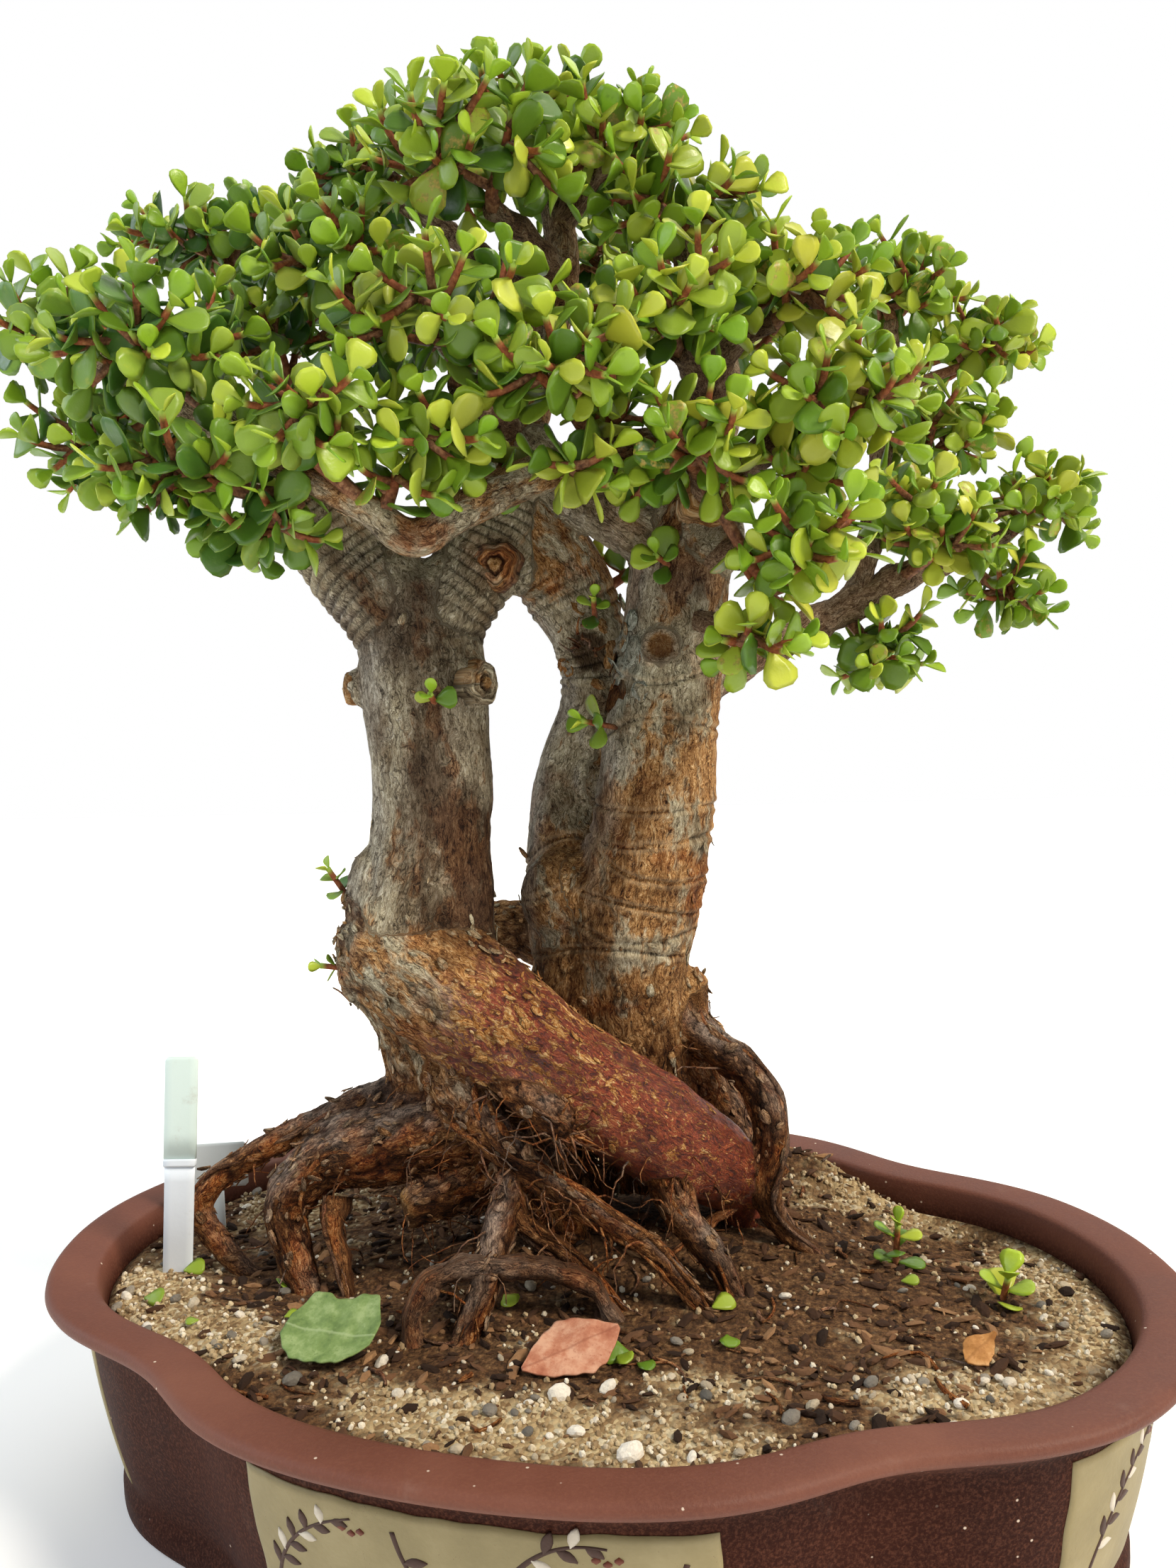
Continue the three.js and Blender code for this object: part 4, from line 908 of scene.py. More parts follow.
def cell_edges(points):
    """How far each point is from the border of its jittered cell: 0 on the borders."""
    cell = np.floor(points).astype(np.int64)
    nearest = np.full((2, len(points)), 9.0)
    for corner in range(27):
        around = cell + (corner % 3 - 1, corner // 3 % 3 - 1, corner // 9 - 1)
        spot = np.stack([cell_value(*(around + shift).T) for shift in (0, 57, 113)], 1)
        apart = np.linalg.norm(around + spot - points, axis=1)
        closer = apart < nearest[0]
        nearest[1] = np.where(closer, nearest[0], np.minimum(nearest[1], apart))
        nearest[0] = np.where(closer, apart, nearest[0])
    return nearest[1] - nearest[0]


def disc(points, normals, centre, facing, radius):
    """Distance from a scar's middle in radii, on the side that faces outwards, and 9 elsewhere."""
    facing = np.array(facing, float) / np.linalg.norm(facing)
    offset = points - centre
    deep = offset @ facing
    flat = np.linalg.norm(offset - deep[:, None] * facing, axis=1) / radius
    return np.where((np.abs(deep) < 1.6 * radius) & (normals @ facing > 0.1), flat, 9.0)


def off_centre(points, centre, size):
    """Squared distance from a centre, in sizes."""
    return (((points - centre) / size) ** 2).sum(1)


SMOOTH_AT = (-63, -4, 354)  # the hollow under the left fork
# Scars: centre, the way each faces, and radius.
WOUND = ((-5, 57, 335), (0.15, -1, 0.05), 12)
KNOTS = [
    ((33, 33, 334), (0.1, -1, 0), 8), ((-98, 13, 323), (-1, -0.2, 0), 6),
    ((-34, 8, 322), (1, -0.4, 0), 7),
]
CUT_FACES = [
    ((33, 33, 334), (0.1, -1, 0), 5), ((-67, -25, 112), (-0.7, -1, 0), 8),
    ((-105, 3, 232), (-1, -0.5, 0.2), 4),
]
# Painted shade, or painted light where the amount is under 0: the limb, the middle, its reach and the amount.
PATCHES = [
    ("leftTrunk", (-53, -8, 278), (15, 60, 50), 0.9), ("leftTrunk", (-44, -5, 234), (11, 40, 26), 0.8),
    ("leftTrunk", (-66, -5, 348), (22, 30, 22), 0.8), ("leftForkOuter", (-72, -2, 362), (24, 30, 22), 0.7),
    ("leftForkInner", (-60, -2, 362), (20, 30, 22), 0.6), ("rightTrunk", (42, 36, 362), (16, 20, 14), 0.6),
    ("rightTrunk", (14, 26, 206), (30, 30, 26), -0.7), ("rightTrunk", (44, 30, 262), (20, 40, 22), -0.8),
    ("backTrunk", (-18, 36, 215), (20, 30, 26), -0.6), ("backTrunk", (-8, 42, 270), (20, 30, 44), -0.5),
    ("leftTrunk", (-86, -4, 285), (15, 40, 70), -0.8), ("rightTrunk", (30, 22, 196), (34, 30, 30), -0.5),
]
LICHEN_AT, LICHEN_SIZE = (16, 38, 328), (9, 16, 20)


def bark():
    """The trunks, main limbs and stout roots as one skin, with folds, fibres and scars."""
    bones = Bones(THICK_WOOD)
    rough = Batch()
    for stations in THICK_WOOD.values():
        rows, _ = run_along(stations, 4)
        tube(rough, rows[:, :3], rows[:, 3], 24 if widest(stations) > 12 else 14)
    for x, y, z, radius in BURLS:
        ball(rough, (x, y, z), radius, 1.15)
    points, groups = fused(rough, "rough_wood", VOXEL)
    edges = joined_edges(groups)
    _, _, gap = bones.nearest(points)
    points = smoothed(points, edges, 0.9 * hump(gap, 0, MELD), 14)
    points = smoothed(points, edges, np.full(len(points), 0.5), 3)

    normals = point_normals(points, groups)
    best, _, _ = bones.nearest(points)
    local = bones.local(points, best)
    names = np.array(bones.names)[bones.limb[best]]
    radius = bones.radius[best]
    x, y, z = points.T
    run = local[:, 2]
    is_root = np.isin(names, list(ROOTS)) | (names == "crossingRoot")
    stout = ramp_up(radius, 6, 18)

    def on(name):
        return names == name

    wrinkled = np.clip(
        0.5 * on("leftTrunk") * ramp_up(z, 322, 344)
        + on("leftForkOuter") * (1 - ramp_up(run, 90, 130))
        + on("leftForkInner") * 1.0
        + on("backTrunk") * (band(z, 312, 322, 330, 338) + band(z, 346, 356, 362, 372))
        + on("frontBranch") * 0.15 + on("rightBackLimb") * 0.4 + on("bridgeLimb") * 0.3, 0, 1)
    gate = ramp_up(noise(points / 19 + 5.3, 2), -0.7, -0.1)
    folded = wrinkled * (0.3 + 0.7 * gate) * ramp_up(np.linalg.norm(points - BOSSES[0][0], axis=1), 10, 14)
    folded *= ramp_up(np.linalg.norm((points - SMOOTH_AT) / (1, 1.6, 1.3), axis=1), 10, 22)
    spacing = np.where(on("frontBranch"), 4.0, 5.0)
    phase = run / spacing + 0.5 * noise(points / 21) + 0.1 * noise(points / 7)
    wave = 2 * np.abs(phase - np.round(phase))
    folds = folded * (2 * wave - wave**2 - 0.75)
    split = split_distance(points, names)
    rings = 0.8 * hump(split, 2.6, 1.6) - 0.9 * hump(split, 0, 0.9)
    rings *= ramp_up(noise(points / 15 + 4), -0.5, 0.2)
    fibre = noise(local / (2.6, 2.6, 22), 3)
    ropes = noise(local / (6.5, 6.5, 60), 2)
    lumps = 1.7 * noise(points / 36, 2) + 0.9 * noise(points / 13 + 3, 2)
    red = on("crossingRoot") * ramp_up(run + 8 * noise(points / 12), RED_FROM, RED_FROM + 26)
    peeling = 1 - ramp_up(run, 62, 125)
    drift = np.stack([noise(local / (8, 8, 14) + shift, 2) for shift in (0, 31, 67)], 1) * (2.2, 2.2, 4)
    plates = cell_edges((local + drift) / (6.2, 6.2, 11))
    bare = red * (1 - 0.6 * peeling)
    cracked = np.maximum(is_root, 1 - ramp_up(z, 180, 300))
    cracked = cracked * ramp_up(noise(points / 24 + 9, 2), -0.6, 0.1) * (1 - bare)
    cracks = -hump(plates, 0, 0.13) * cracked
    curl = hump(plates, 0.3, 0.16) * cracked
    gnarled = np.maximum(is_root * (1 - 0.8 * red), 0.5 * (1 - ramp_up(z, 180, 240)))
    gnarl = noise(local / (5, 5, 9) + 17, 2) * gnarled
    rise = (
        stout * lumps
        + (0.35 + 0.65 * stout) * (0.3 + 0.25 * is_root) * fibre * (1 - 0.7 * bare) * (1 - 0.8 * folded)
        + (0.5 + 0.5 * is_root) * 0.7 * ropes * (1 - 0.5 * red) * (1 - 0.8 * folded)
        + 1.5 * folds * np.minimum(1, 0.07 * radius)
        + rings
        + 0.3 * noise(points / 3.1, 2) * (1 - bare)
        + 0.35 * red * peeling
        + np.minimum(1, 0.1 * radius) * (0.75 * cracks + 0.3 * curl)
        + 0.14 * np.minimum(radius, 10) * gnarl
    )
    # Painted shade, darker in the grooves of the fibres and ropes, in cracks and in gnarls.
    crease = (
        0.5 * np.minimum(fibre, 0) * (1 - bare)
        + 0.4 * np.minimum(ropes, 0)
        + 0.7 * cracks
        + 0.5 * np.minimum(gnarl, 0)
    )

    cut = np.zeros(len(points))
    wound = disc(points, normals, *WOUND) * (1 + 0.3 * noise(points / 3.5 + 8, 2))
    rise += np.where(wound < 2.2, 2.2 * hump(wound, 1.05, 0.25) - 6 * hump(wound, 0, 0.6, 4), 0)
    # Painted shade in the hollow of the wound and in rings round the knots.
    crease -= 2.6 * hump(wound, 0, 0.62, 4)
    for scar in KNOTS:
        knot = disc(points, normals, *scar)
        rise += np.where(knot < 2, 1.2 * hump(knot, 0.85, 0.25) - 0.8 * hump(knot, 0, 0.4), 0)
        crease -= 0.7 * hump(knot, 0.45, 0.2)
    for scar in CUT_FACES:
        cut = np.maximum(cut, 1 - ramp_up(disc(points, normals, *scar), 0.9, 1.15))
    rise *= 1 - 0.8 * cut
    lichen = hump(off_centre(points, LICHEN_AT, LICHEN_SIZE), 0, 1)
    lichen *= ramp_up(noise(points / 6, 3), -0.3, -0.1)
    rise += lichen * 1.5
    gash = np.hypot((x - 9 - 0.25 * (z - 323)) / 1.7, (z - 322) / 9) + 0.4 * noise(points / 4, 2)
    gash = np.where(on("rightTrunk") & (y < 50), gash, 9)
    rise -= 2.2 * hump(gash, 0, 1, 4)
    # Painted shade in the gash.
    crease -= 2.0 * hump(gash, 0, 1, 4)

    light_from = 212 + 0.62 * (x + 60) + 26 * noise(points / 30, 2)
    knee = on("crossingRoot") * (1 - ramp_up(run + 12 * noise(points / 15), 20, 62))
    knee = np.maximum(knee, on("leftTrunk") * (z < 240) * 1.0)
    pale = ramp_up(z, light_from, light_from + 62) * (1 - is_root)
    pale = np.maximum(pale, 0.55 * knee * ramp_up(z, 150, 185))
    shaded = np.zeros(len(points))
    ragged = 0.8 * noise(points / 12, 2)
    # Painted shade and painted light: paler or darker bark and darker creases, with a cool grey in the shaded
    # patches.
    for limb, centre, size, amount in PATCHES:
        share = amount * on(limb) * np.exp(-off_centre(points, centre, size) - ragged)
        pale -= 0.4 * share
        crease -= 0.9 * np.maximum(share, 0)
        shaded = np.maximum(shaded, share)
    low_wood = 1 - ramp_up(z + 14 * noise(points / 20), 128, 172)
    arch = on("backTrunk") * ramp_up(z, 345, 365)
    rust = 0.3 + 0.6 * (1 - ramp_up(z, 235, 300)) + 0.7 * arch + 0.7 * on("frontBranch")
    rust = np.clip(rust - 0.35 * on("leftTrunk") - 0.45 * knee, 0, 1)
    pale *= 1 - 0.6 * arch - 0.5 * on("frontBranch") - 0.6 * on("rightTrunk") * ramp_up(z, 335, 350)
    root = np.where(is_root & ~on("crossingRoot"), ramp_up(run + 10 * noise(points / 14), 2, 26), low_wood)
    # Painted cool light on the sides that face left.
    leftwards = -normals[:, 0] - 0.35 * normals[:, 1] + 0.4 * noise(points / 16, 2)
    values = {
        "grain": local,
        "pale": pale,
        "root": np.maximum(root, low_wood) * (1 - red),
        "top": ramp_up(normals[:, 2] + 0.3 * noise(points / 8, 2), 0.05, 0.75),
        "cool": 0.45 * np.minimum(shaded, 1) + 0.6 * ramp_up(leftwards, 0.45, 1.0) * ramp_up(z, 190, 250),
        "rust": rust,
        "red": red,
        "flaky": 0.055 * peeling - 0.035 * ramp_up(run, 110, 150) + 0.06 * noise(points / 16 + 2, 2),
        "slim": 0.7 * (1 - ramp_up(radius, 6, 12)) * (z > 300) * (1 - 0.8 * on("frontBranch")),
        "crease": np.clip(crease, -1, 1),
        "phase": phase,
        "folded": folded,
        "ring": split,
        "lichen": np.clip(lichen, 0, 1),
        "cut": cut,
    }
    wood = mesh_object("wood", points + rise[:, None] * normals, groups, [BARK], True, values)
    return thinned(wood, WOOD_TRIANGLES)


PLAIN_BARK = {
    "pale": 0.0, "root": 0.0, "top": 0.0, "cool": 0.0, "rust": 0.5, "red": 0.0, "flaky": 0.0, "slim": 0.0,
    "crease": 0.0, "phase": 0.0, "folded": 0.0, "ring": 5.0, "lichen": 0.0, "cut": 0.0,
}
FLAKES = 1700
LICHENED, DARK_SCAR = {"lichen": 1.0}, {"crease": -0.8, "pale": 0.0}
TORN = {"rust": 1.0, "pale": 0.2, "cut": 0.4}
# Large scales: a point near each, its length and half width, and its looks.
PEELS = [
    (15, 38, 336, 13, 5, LICHENED), (20, 37, 327, 12, 4.5, LICHENED), (12, 40, 324, 9, 3.5, LICHENED),
    (18, 38, 342, 9, 4, LICHENED), (23, 36, 318, 8, 3.5, LICHENED), (10, 42, 332, 10, 3.5, DARK_SCAR),
    (14, 40, 318, 12, 3, DARK_SCAR), (17, 39, 312, 8, 2.5, DARK_SCAR), (-16, 60, 345, 8, 3, TORN),
    (6, 60, 340, 8, 3, TORN), (-18, 60, 333, 8, 2.6, TORN), (4, 60, 327, 7, 2.6, TORN),
    (-8, 58, 350, 8, 2.6, TORN), (-14, 60, 324, 7, 2.6, TORN), (0, 58, 349, 7, 2.2, TORN),
    (-4, 58, 322, 7, 2.2, TORN),
]
# Ringed scars: centre, the way each faces, radius, and relief, which is under 1 where a branch was sawn off.
BOSSES = [((-35, 36, 371), (0.1, -1, -0.02), 9.5, 1.0), ((-93, 14, 322), (-1, -0.35, 0), 6.5, 1.0),
          ((-38, 7, 321), (1, -0.35, 0), 8.5, 1.0), ((57, 33, 395), (0.25, -1, 0.0), 14, 0.4)]
# From the middle of a scar outwards, as shares of its radius.
BOSS_RADII = np.array([0.06, 0.16, 0.26, 0.34, 0.42, 0.52, 0.64, 0.76, 0.88, 1.0, 1.06])
BOSS_RISE = np.array([0.3, 0.32, 0.26, 0.08, 0.02, 0.2, 0.24, 0.12, 0.17, 0.02, -0.3])
# Painted shade in the grooves of the rings.
BOSS_SHADE = np.array([0.1, 0.1, -0.2, -1, -0.9, 0.1, 0.1, -0.7, 0, -0.5, -0.5])


def bosses(wood):
    """Ringed scars of old branches."""
    points = read(wood.data.vertices, "co", np.float32) / MM
    batch = Batch()
    around = 30
    angles = circle(around)
    for number, (centre, facing, radius, relief) in enumerate(BOSSES):
        facing = np.array(facing) / np.linalg.norm(facing)
        offset = points - centre
        deep = offset @ facing
        flat = np.linalg.norm(offset - deep[:, None] * facing, axis=1)
        sawn = relief < 1
        near = (flat < 0.5 * radius) & (np.abs(deep) < 2.5 * radius)
        level = 0 if sawn else np.percentile(deep[near], 85) - 1
        side = np.cross(facing, (0, 0, 1))
        side /= np.linalg.norm(side)
        above = np.cross(side, facing)
        wobble = 1 + 0.1 * np.sin(3 * angles + number) + 0.06 * np.sin(7 * angles + 2 * number)
        flat_x = radius * BOSS_RADII[:, None] * wobble * np.cos(angles)
        flat_y = radius * BOSS_RADII[:, None] * wobble * np.sin(angles)
        height = relief * radius * BOSS_RISE[:, None] * (1 + 0.2 * np.sin(2 * angles + number))
        rings = np.array(centre) + side * flat_x[..., None] + above * flat_y[..., None]
        rings = rings + facing * (level + 1.0 + height)[..., None]
        back = rings[-1] - facing * 0.6 * radius
        points_on_it = np.vstack([rings.reshape(-1, 3), back, rings[0].mean(0), back.mean(0)])
        grain = np.stack(np.broadcast_arrays(radius * BOSS_RADII[:, None], 30 * number, 3 * angles), -1)
        grain = np.vstack([grain.reshape(-1, 3), grain[-1], grain[0, :1], grain[-1, :1]])
        crease = np.concatenate([np.repeat(BOSS_SHADE, around), np.full(around, -0.5), [0.1, -0.5]])
        cut = np.where(BOSS_RADII < (0.95 if sawn else 0.3), 0.9, 0.0)
        cut = np.concatenate([np.repeat(cut, around), np.zeros(around), [0.9, 0]])
        looks = {**PLAIN_BARK, "pale": 0.45, "rust": 0.8, "crease": relief * crease, "cut": cut}
        batch.add_rings(points_on_it, around, grain=grain, **looks)
    return batch.build("branch_scars", [BARK])


def flakes(wood, bones):
    """Thin scales that stand off the bark, long way along the grain."""
    points = read(wood.data.vertices, "co", np.float32) / MM
    normals = read(wood.data.vertices, "normal", np.float32)
    z = points[:, 2]
    best, _, _ = bones.nearest(points)
    names = np.array(bones.names)[bones.limb[best]]
    is_root = np.isin(names, list(ROOTS))
    red = (names == "crossingRoot") * ramp_up(bones.run[best], RED_FROM, RED_FROM + 26)
    knee = (names == "crossingRoot") * (1 - ramp_up(bones.run[best], 60, 130))
    upper = (names == "rightTrunk") * ramp_up(z, 300, 330)
    chances = 0.1 + 1.5 * is_root + 1.2 * knee + 1.1 * upper + 0.7 * (1 - ramp_up(z, 190, 280))
    chances = (z > 84) * chances * (1 - 0.6 * red * (1 - knee))
    draws = np.random.default_rng(3)
    batch = Batch()
    chosen = draws.choice(len(points), FLAKES, False, chances / chances.sum())
    sizes = 2.0 + 4.5 * draws.random(FLAKES) ** 1.6
    widths = sizes * (0.16 + 0.2 * draws.random(FLAKES))
    looks = [{} for _ in chosen]
    for x, y, z, length, half, look in PEELS:
        chosen = np.append(chosen, np.linalg.norm(points - (x, y, z), axis=1).argmin())
        sizes, widths, looks = np.append(sizes, length), np.append(widths, half), [*looks, look]
    across = np.linspace(-1, 1, 3)
    along = np.linspace(0, 1, 4)[:, None]
    outline_share = np.array([0.6, 1.0, 0.9, 0.35])[:, None]
    for number, length, half, look in zip(chosen, sizes, widths, looks):
        normal = normals[number]
        way = bones.tangent[best[number]] * draws.choice([-1, 1]) + 0.35 * draws.normal(size=3)
        way -= normal * (way @ normal)
        way /= np.linalg.norm(way)
        side = np.cross(normal, way)
        lift = 0.1 + (0.25 + 1.6 * draws.random() ** 2) * along**2 + 0.12 * length * 0.4 * across**2
        edge = outline_share * (1 + 0.35 * (draws.random((4, 3)) - 0.5)) * across * half
        top = (points[number] + way * (along * length)[..., None] + side * edge[..., None]
               + normal * (lift + 0.25)[..., None])
        pale, raised = 0.3 + 0.7 * draws.random(), 0.6 * draws.random() * (1 - red[number])
        tones = {**PLAIN_BARK, "pale": pale, "rust": 1.0, "top": raised, "root": 0.7 * is_root[number]}
        tones = {**tones, "red": red[number], "flaky": 0.4, **look}
        grain = np.stack(np.broadcast_arrays(edge, draws.random() * 90, along * length), -1).reshape(-1, 3)
        slab(batch, top, top - normal * 0.3, grain=np.vstack([grain, grain]), **tones)
    return batch.build("bark_flakes", [BARK])


def slim_limbs():
    """The slimmer limbs inside the crown."""
    batch = Batch()
    for number, stations in enumerate(SLIM_LIMBS.values()):
        rows, run = run_along(stations, 2.0)
        around = 12
        angles = circle(around)
        k = np.arange(len(rows))[:, None]
        lumps = 1 + 0.1 * np.sin(run / 4.2 + number)[:, None] + 0.07 * np.sin(3 * angles + k * 0.6 + number)
        radii = rows[:, 3:4] * lumps + 0.5 * chance(k, np.arange(around), number) - 0.25
        grain = (radii * np.cos(angles), radii * np.sin(angles), run[:, None])
        grain = np.stack(np.broadcast_arrays(*grain), -1)
        grain = np.vstack([grain.reshape(-1, 3), [[0, 0, 0], [0, 0, run[-1]]]])
        looks = {**PLAIN_BARK, "pale": 0.3, "slim": 0.85}
        tube(batch, rows[:, :3], radii, around, grain=grain, **looks)
    return batch.build("limbs", [BARK])


# The leaves. Rings of one blade: how far along it, and its width and thickness there.
RING_AT = np.array([0.03, 0.19, 0.41, 0.64, 0.84, 0.96])
RING_WIDE = np.array([0.15, 0.4, 0.78, 1.0, 0.87, 0.5])
RING_THICK = np.array([0.95, 0.85, 1.0, 1.0, 0.85, 0.55])
BLADE_SIDES = 6
BLADE_THICKNESS = 1.45  # of a leaf of full length


class Leaves:
    """Collects leaves, each with its foot, directions and looks, and turns them into one array of points."""

    def __init__(self):
        self.rows = []

    def add(self, foot, along, up, length, tone, warm, young, worn, draws):
        self.rows.append(np.concatenate([foot, along, up, [length, tone, warm, young, worn], draws]))

    def build(self, batch):
        rows = np.array(self.rows)
        foot, along, up = rows[:, 0:3], rows[:, 3:6], rows[:, 6:9]
        length, draws = rows[:, 9], rows[:, 14:18]
        along = along / np.linalg.norm(along, axis=1)[:, None]
        up = up - along * (up * along).sum(1)[:, None]
        up /= np.linalg.norm(up, axis=1)[:, None]
        across = np.cross(up, along)
        roll = (draws[:, 0:1] - 0.5) * 0.9
        cos, sin = np.cos(roll), np.sin(roll)
        up, across = up * cos + across * sin, across * cos - up * sin
        half = 0.5 * length * LEAF_WIDTH / LEAF_LENGTH * (0.84 + 0.34 * draws[:, 1])
        cup = length * (0.02 + 0.13 * draws[:, 2])
        curve = length * (0.2 * draws[:, 3] - 0.04)
        notch = 0.07 * ramp_up(draws[:, 1], 0.55, 0.95)
        angles = circle(BLADE_SIDES)
        y = RING_WIDE[None, :, None] * np.cos(angles)
        thick = 0.5 * BLADE_THICKNESS * (length / LEAF_LENGTH) ** 0.6
        z = thick[:, None, None] * RING_THICK[None, :, None] * np.sin(angles)
        x = np.broadcast_to(RING_AT[None, :, None], z.shape)
        z = z + cup[:, None, None] * y**2 - curve[:, None, None] * x**2
        count = len(rows)
        poles_x = np.stack([np.zeros(count), 1 - notch], 1)
        poles_z = np.stack([np.zeros(count), -curve], 1)
        flat_x = np.concatenate([x.reshape(count, -1), poles_x], 1) * length[:, None]
        flat_y = np.broadcast_to(y, z.shape).reshape(count, -1)
        flat_y = np.concatenate([flat_y, np.zeros((count, 2))], 1)
        flat_z = np.concatenate([z.reshape(count, -1), poles_z], 1)
        points = (
            foot[:, None, :] + along[:, None, :] * flat_x[:, :, None]
            + across[:, None, :] * (flat_y * half[:, None])[:, :, None] + up[:, None, :] * flat_z[:, :, None]
        )
        each = points.shape[1]
        shift = (each * np.arange(count))[:, None, None]
        quads = (grid_faces(len(RING_AT), BLADE_SIDES)[None] + shift).reshape(-1, 4)
        tris = (cap_faces(len(RING_AT), BLADE_SIDES)[None] + shift).reshape(-1, 3)
        rim = np.concatenate([np.tile(np.abs(np.cos(angles)), len(RING_AT)), [0, 1]])
        blade = np.stack([flat_x / length[:, None], flat_y, np.broadcast_to(rim, flat_y.shape)], -1)
        tone, warm, young, worn = (np.repeat(column, each) for column in rows[:, 10:14].T)
        batch.add(points.reshape(-1, 3), quads, tris, blade=blade.reshape(-1, 3),
                  tone=tone, warm=warm, young=young, worn=worn)


def bezier(twig, t):
    """Points along a twig's curve at these shares of it."""
    t = np.asarray(t, float)[:, None]
    return (1 - t) ** 2 * twig["start"] + 2 * t * (1 - t) * twig["bend"] + t * t * twig["tip"]


def spread(number, k):
    """The direction of the k-th tip of a spray, from an even sequence."""
    azimuth = 2 * math.pi * ((0.5 + (k + 1) * GOLDEN_U + chance(number, 7, 1)) % 1)
    return azimuth, -0.35 + 1.3 * ((0.5 + (k + 1) * GOLDEN_V) % 1)


def outward(azimuth, rise):
    """The unit direction of an azimuth with this rise."""
    flat = math.sqrt(max(0, 1 - rise * rise))
    return np.array([math.cos(azimuth) * flat, math.sin(azimuth) * flat, min(rise, 1)])


def new_twig(number, k, start, tip, out, radius, first):
    side = np.array([chance(number, k, draw) - 0.5 for draw in (3, 4, 5)])
    bend = start + 0.55 * (tip - start) + [3 * out[0], 3 * out[1], -3 * (1 - out[2])]
    return {"k": k, "start": start, "bend": bend, "tip": tip, "side": side, "radius": radius, "first": first}


def first_twigs(number, spray):
    """The twigs that the CAD model has too."""
    root, centre, half, count = spray
    reach = np.maximum(np.array(half, float) - ROOM_FOR_LEAF, 4)
    twigs = []
    for k in range(count):
        out = outward(*spread(number, k))
        tip = centre + out * reach
        if k == 0:
            twig = new_twig(number, k, np.array(root, float), tip, out, TWIG_BRANCHLET, True)
            hub = centre - np.array([0, 0, 0.3 * half[2]])
            twig["bend"] = hub + 0.1 * (tip - hub)
        else:
            start = bezier(twigs[0], [FORK + 0.1 * (chance(number, k, 2) - 0.5)])[0]
            twig = new_twig(number, k, start, tip, out, TWIG_BASE, True)
        twigs.append(twig)
    return twigs


TRIES = 90
TIPS_APART, TIP_CLEAR = 14.5, 5
SIDE_TWIG, TWIG_TIP = 1.6, 1.15  # radii
PAIR_SPACING = 6.6


def above_crest(tip):
    """Whether a twig's tip stands above the crown's outline as seen from the front right."""
    away = tip[1] - CREST_FROM[1]
    slope = np.interp((tip[0] - CREST_FROM[0]) / away, *np.array(CREST).T)
    return tip[2] > CREST_FROM[2] + slope * away - LEAF_OVER_TIP


def more_twigs(number, spray, twigs, tips, bones):
    """Further twigs to tips a little apart from all the others, each branching from the nearest twig."""
    _, centre, half, count = spray
    low, high = (np.array(corner) / MM for corner in CAD_BOX)
    grown = [bezier(twig, np.linspace(0.25, 0.8, 8)) for twig in twigs]
    for k in range(count, TRIES):
        azimuth, rise = spread(number, k)
        out = outward(azimuth, rise - 0.35 * chance(number, k, 21))
        share = 0.5 + 0.66 * chance(number, k, 22) ** 0.6
        tip = centre + out * half * share
        if (tip < low + TIP_CLEAR).any() or (tip > high - TIP_CLEAR).any() or above_crest(tip):
            continue
        if np.linalg.norm(tips - tip, axis=1).min() < TIPS_APART:
            continue
        if bones.nearest(tip[None])[1][0] > -TIP_CLEAR:
            continue
        ready = np.concatenate(grown)
        start = ready[np.argmin(np.linalg.norm(ready - (tip - out * 20), axis=1))]
        twig = new_twig(number, k, start, tip, out, SIDE_TWIG, False)
        tips = np.vstack([tips, tip])
        twigs.append(twig)
        grown.append(bezier(twig, np.linspace(0.3, 0.8, 6)))
    return tips


# The crown's crest as seen from a point at the front: slopes sideways and upwards.
CREST_FROM, LEAF_OVER_TIP = (135, -447, 299), 10
CREST = [
    (-0.87, 0.5), (-0.81, 0.51), (-0.71, 0.548), (-0.55, 0.548), (-0.49, 0.592), (-0.41, 0.621),
    (-0.32, 0.606), (-0.22, 0.572), (-0.16, 0.512), (-0.1, 0.457), (0.0, 0.407), (0.055, 0.353),
    (0.116, 0.293), (0.147, 0.181),
]


LEAF_SIZES = (0.66, 0.86, 1.02, 1.0, 0.92)  # of the pairs from the tip, as shares of a full leaf
LEAF_CLEAR = 1.2


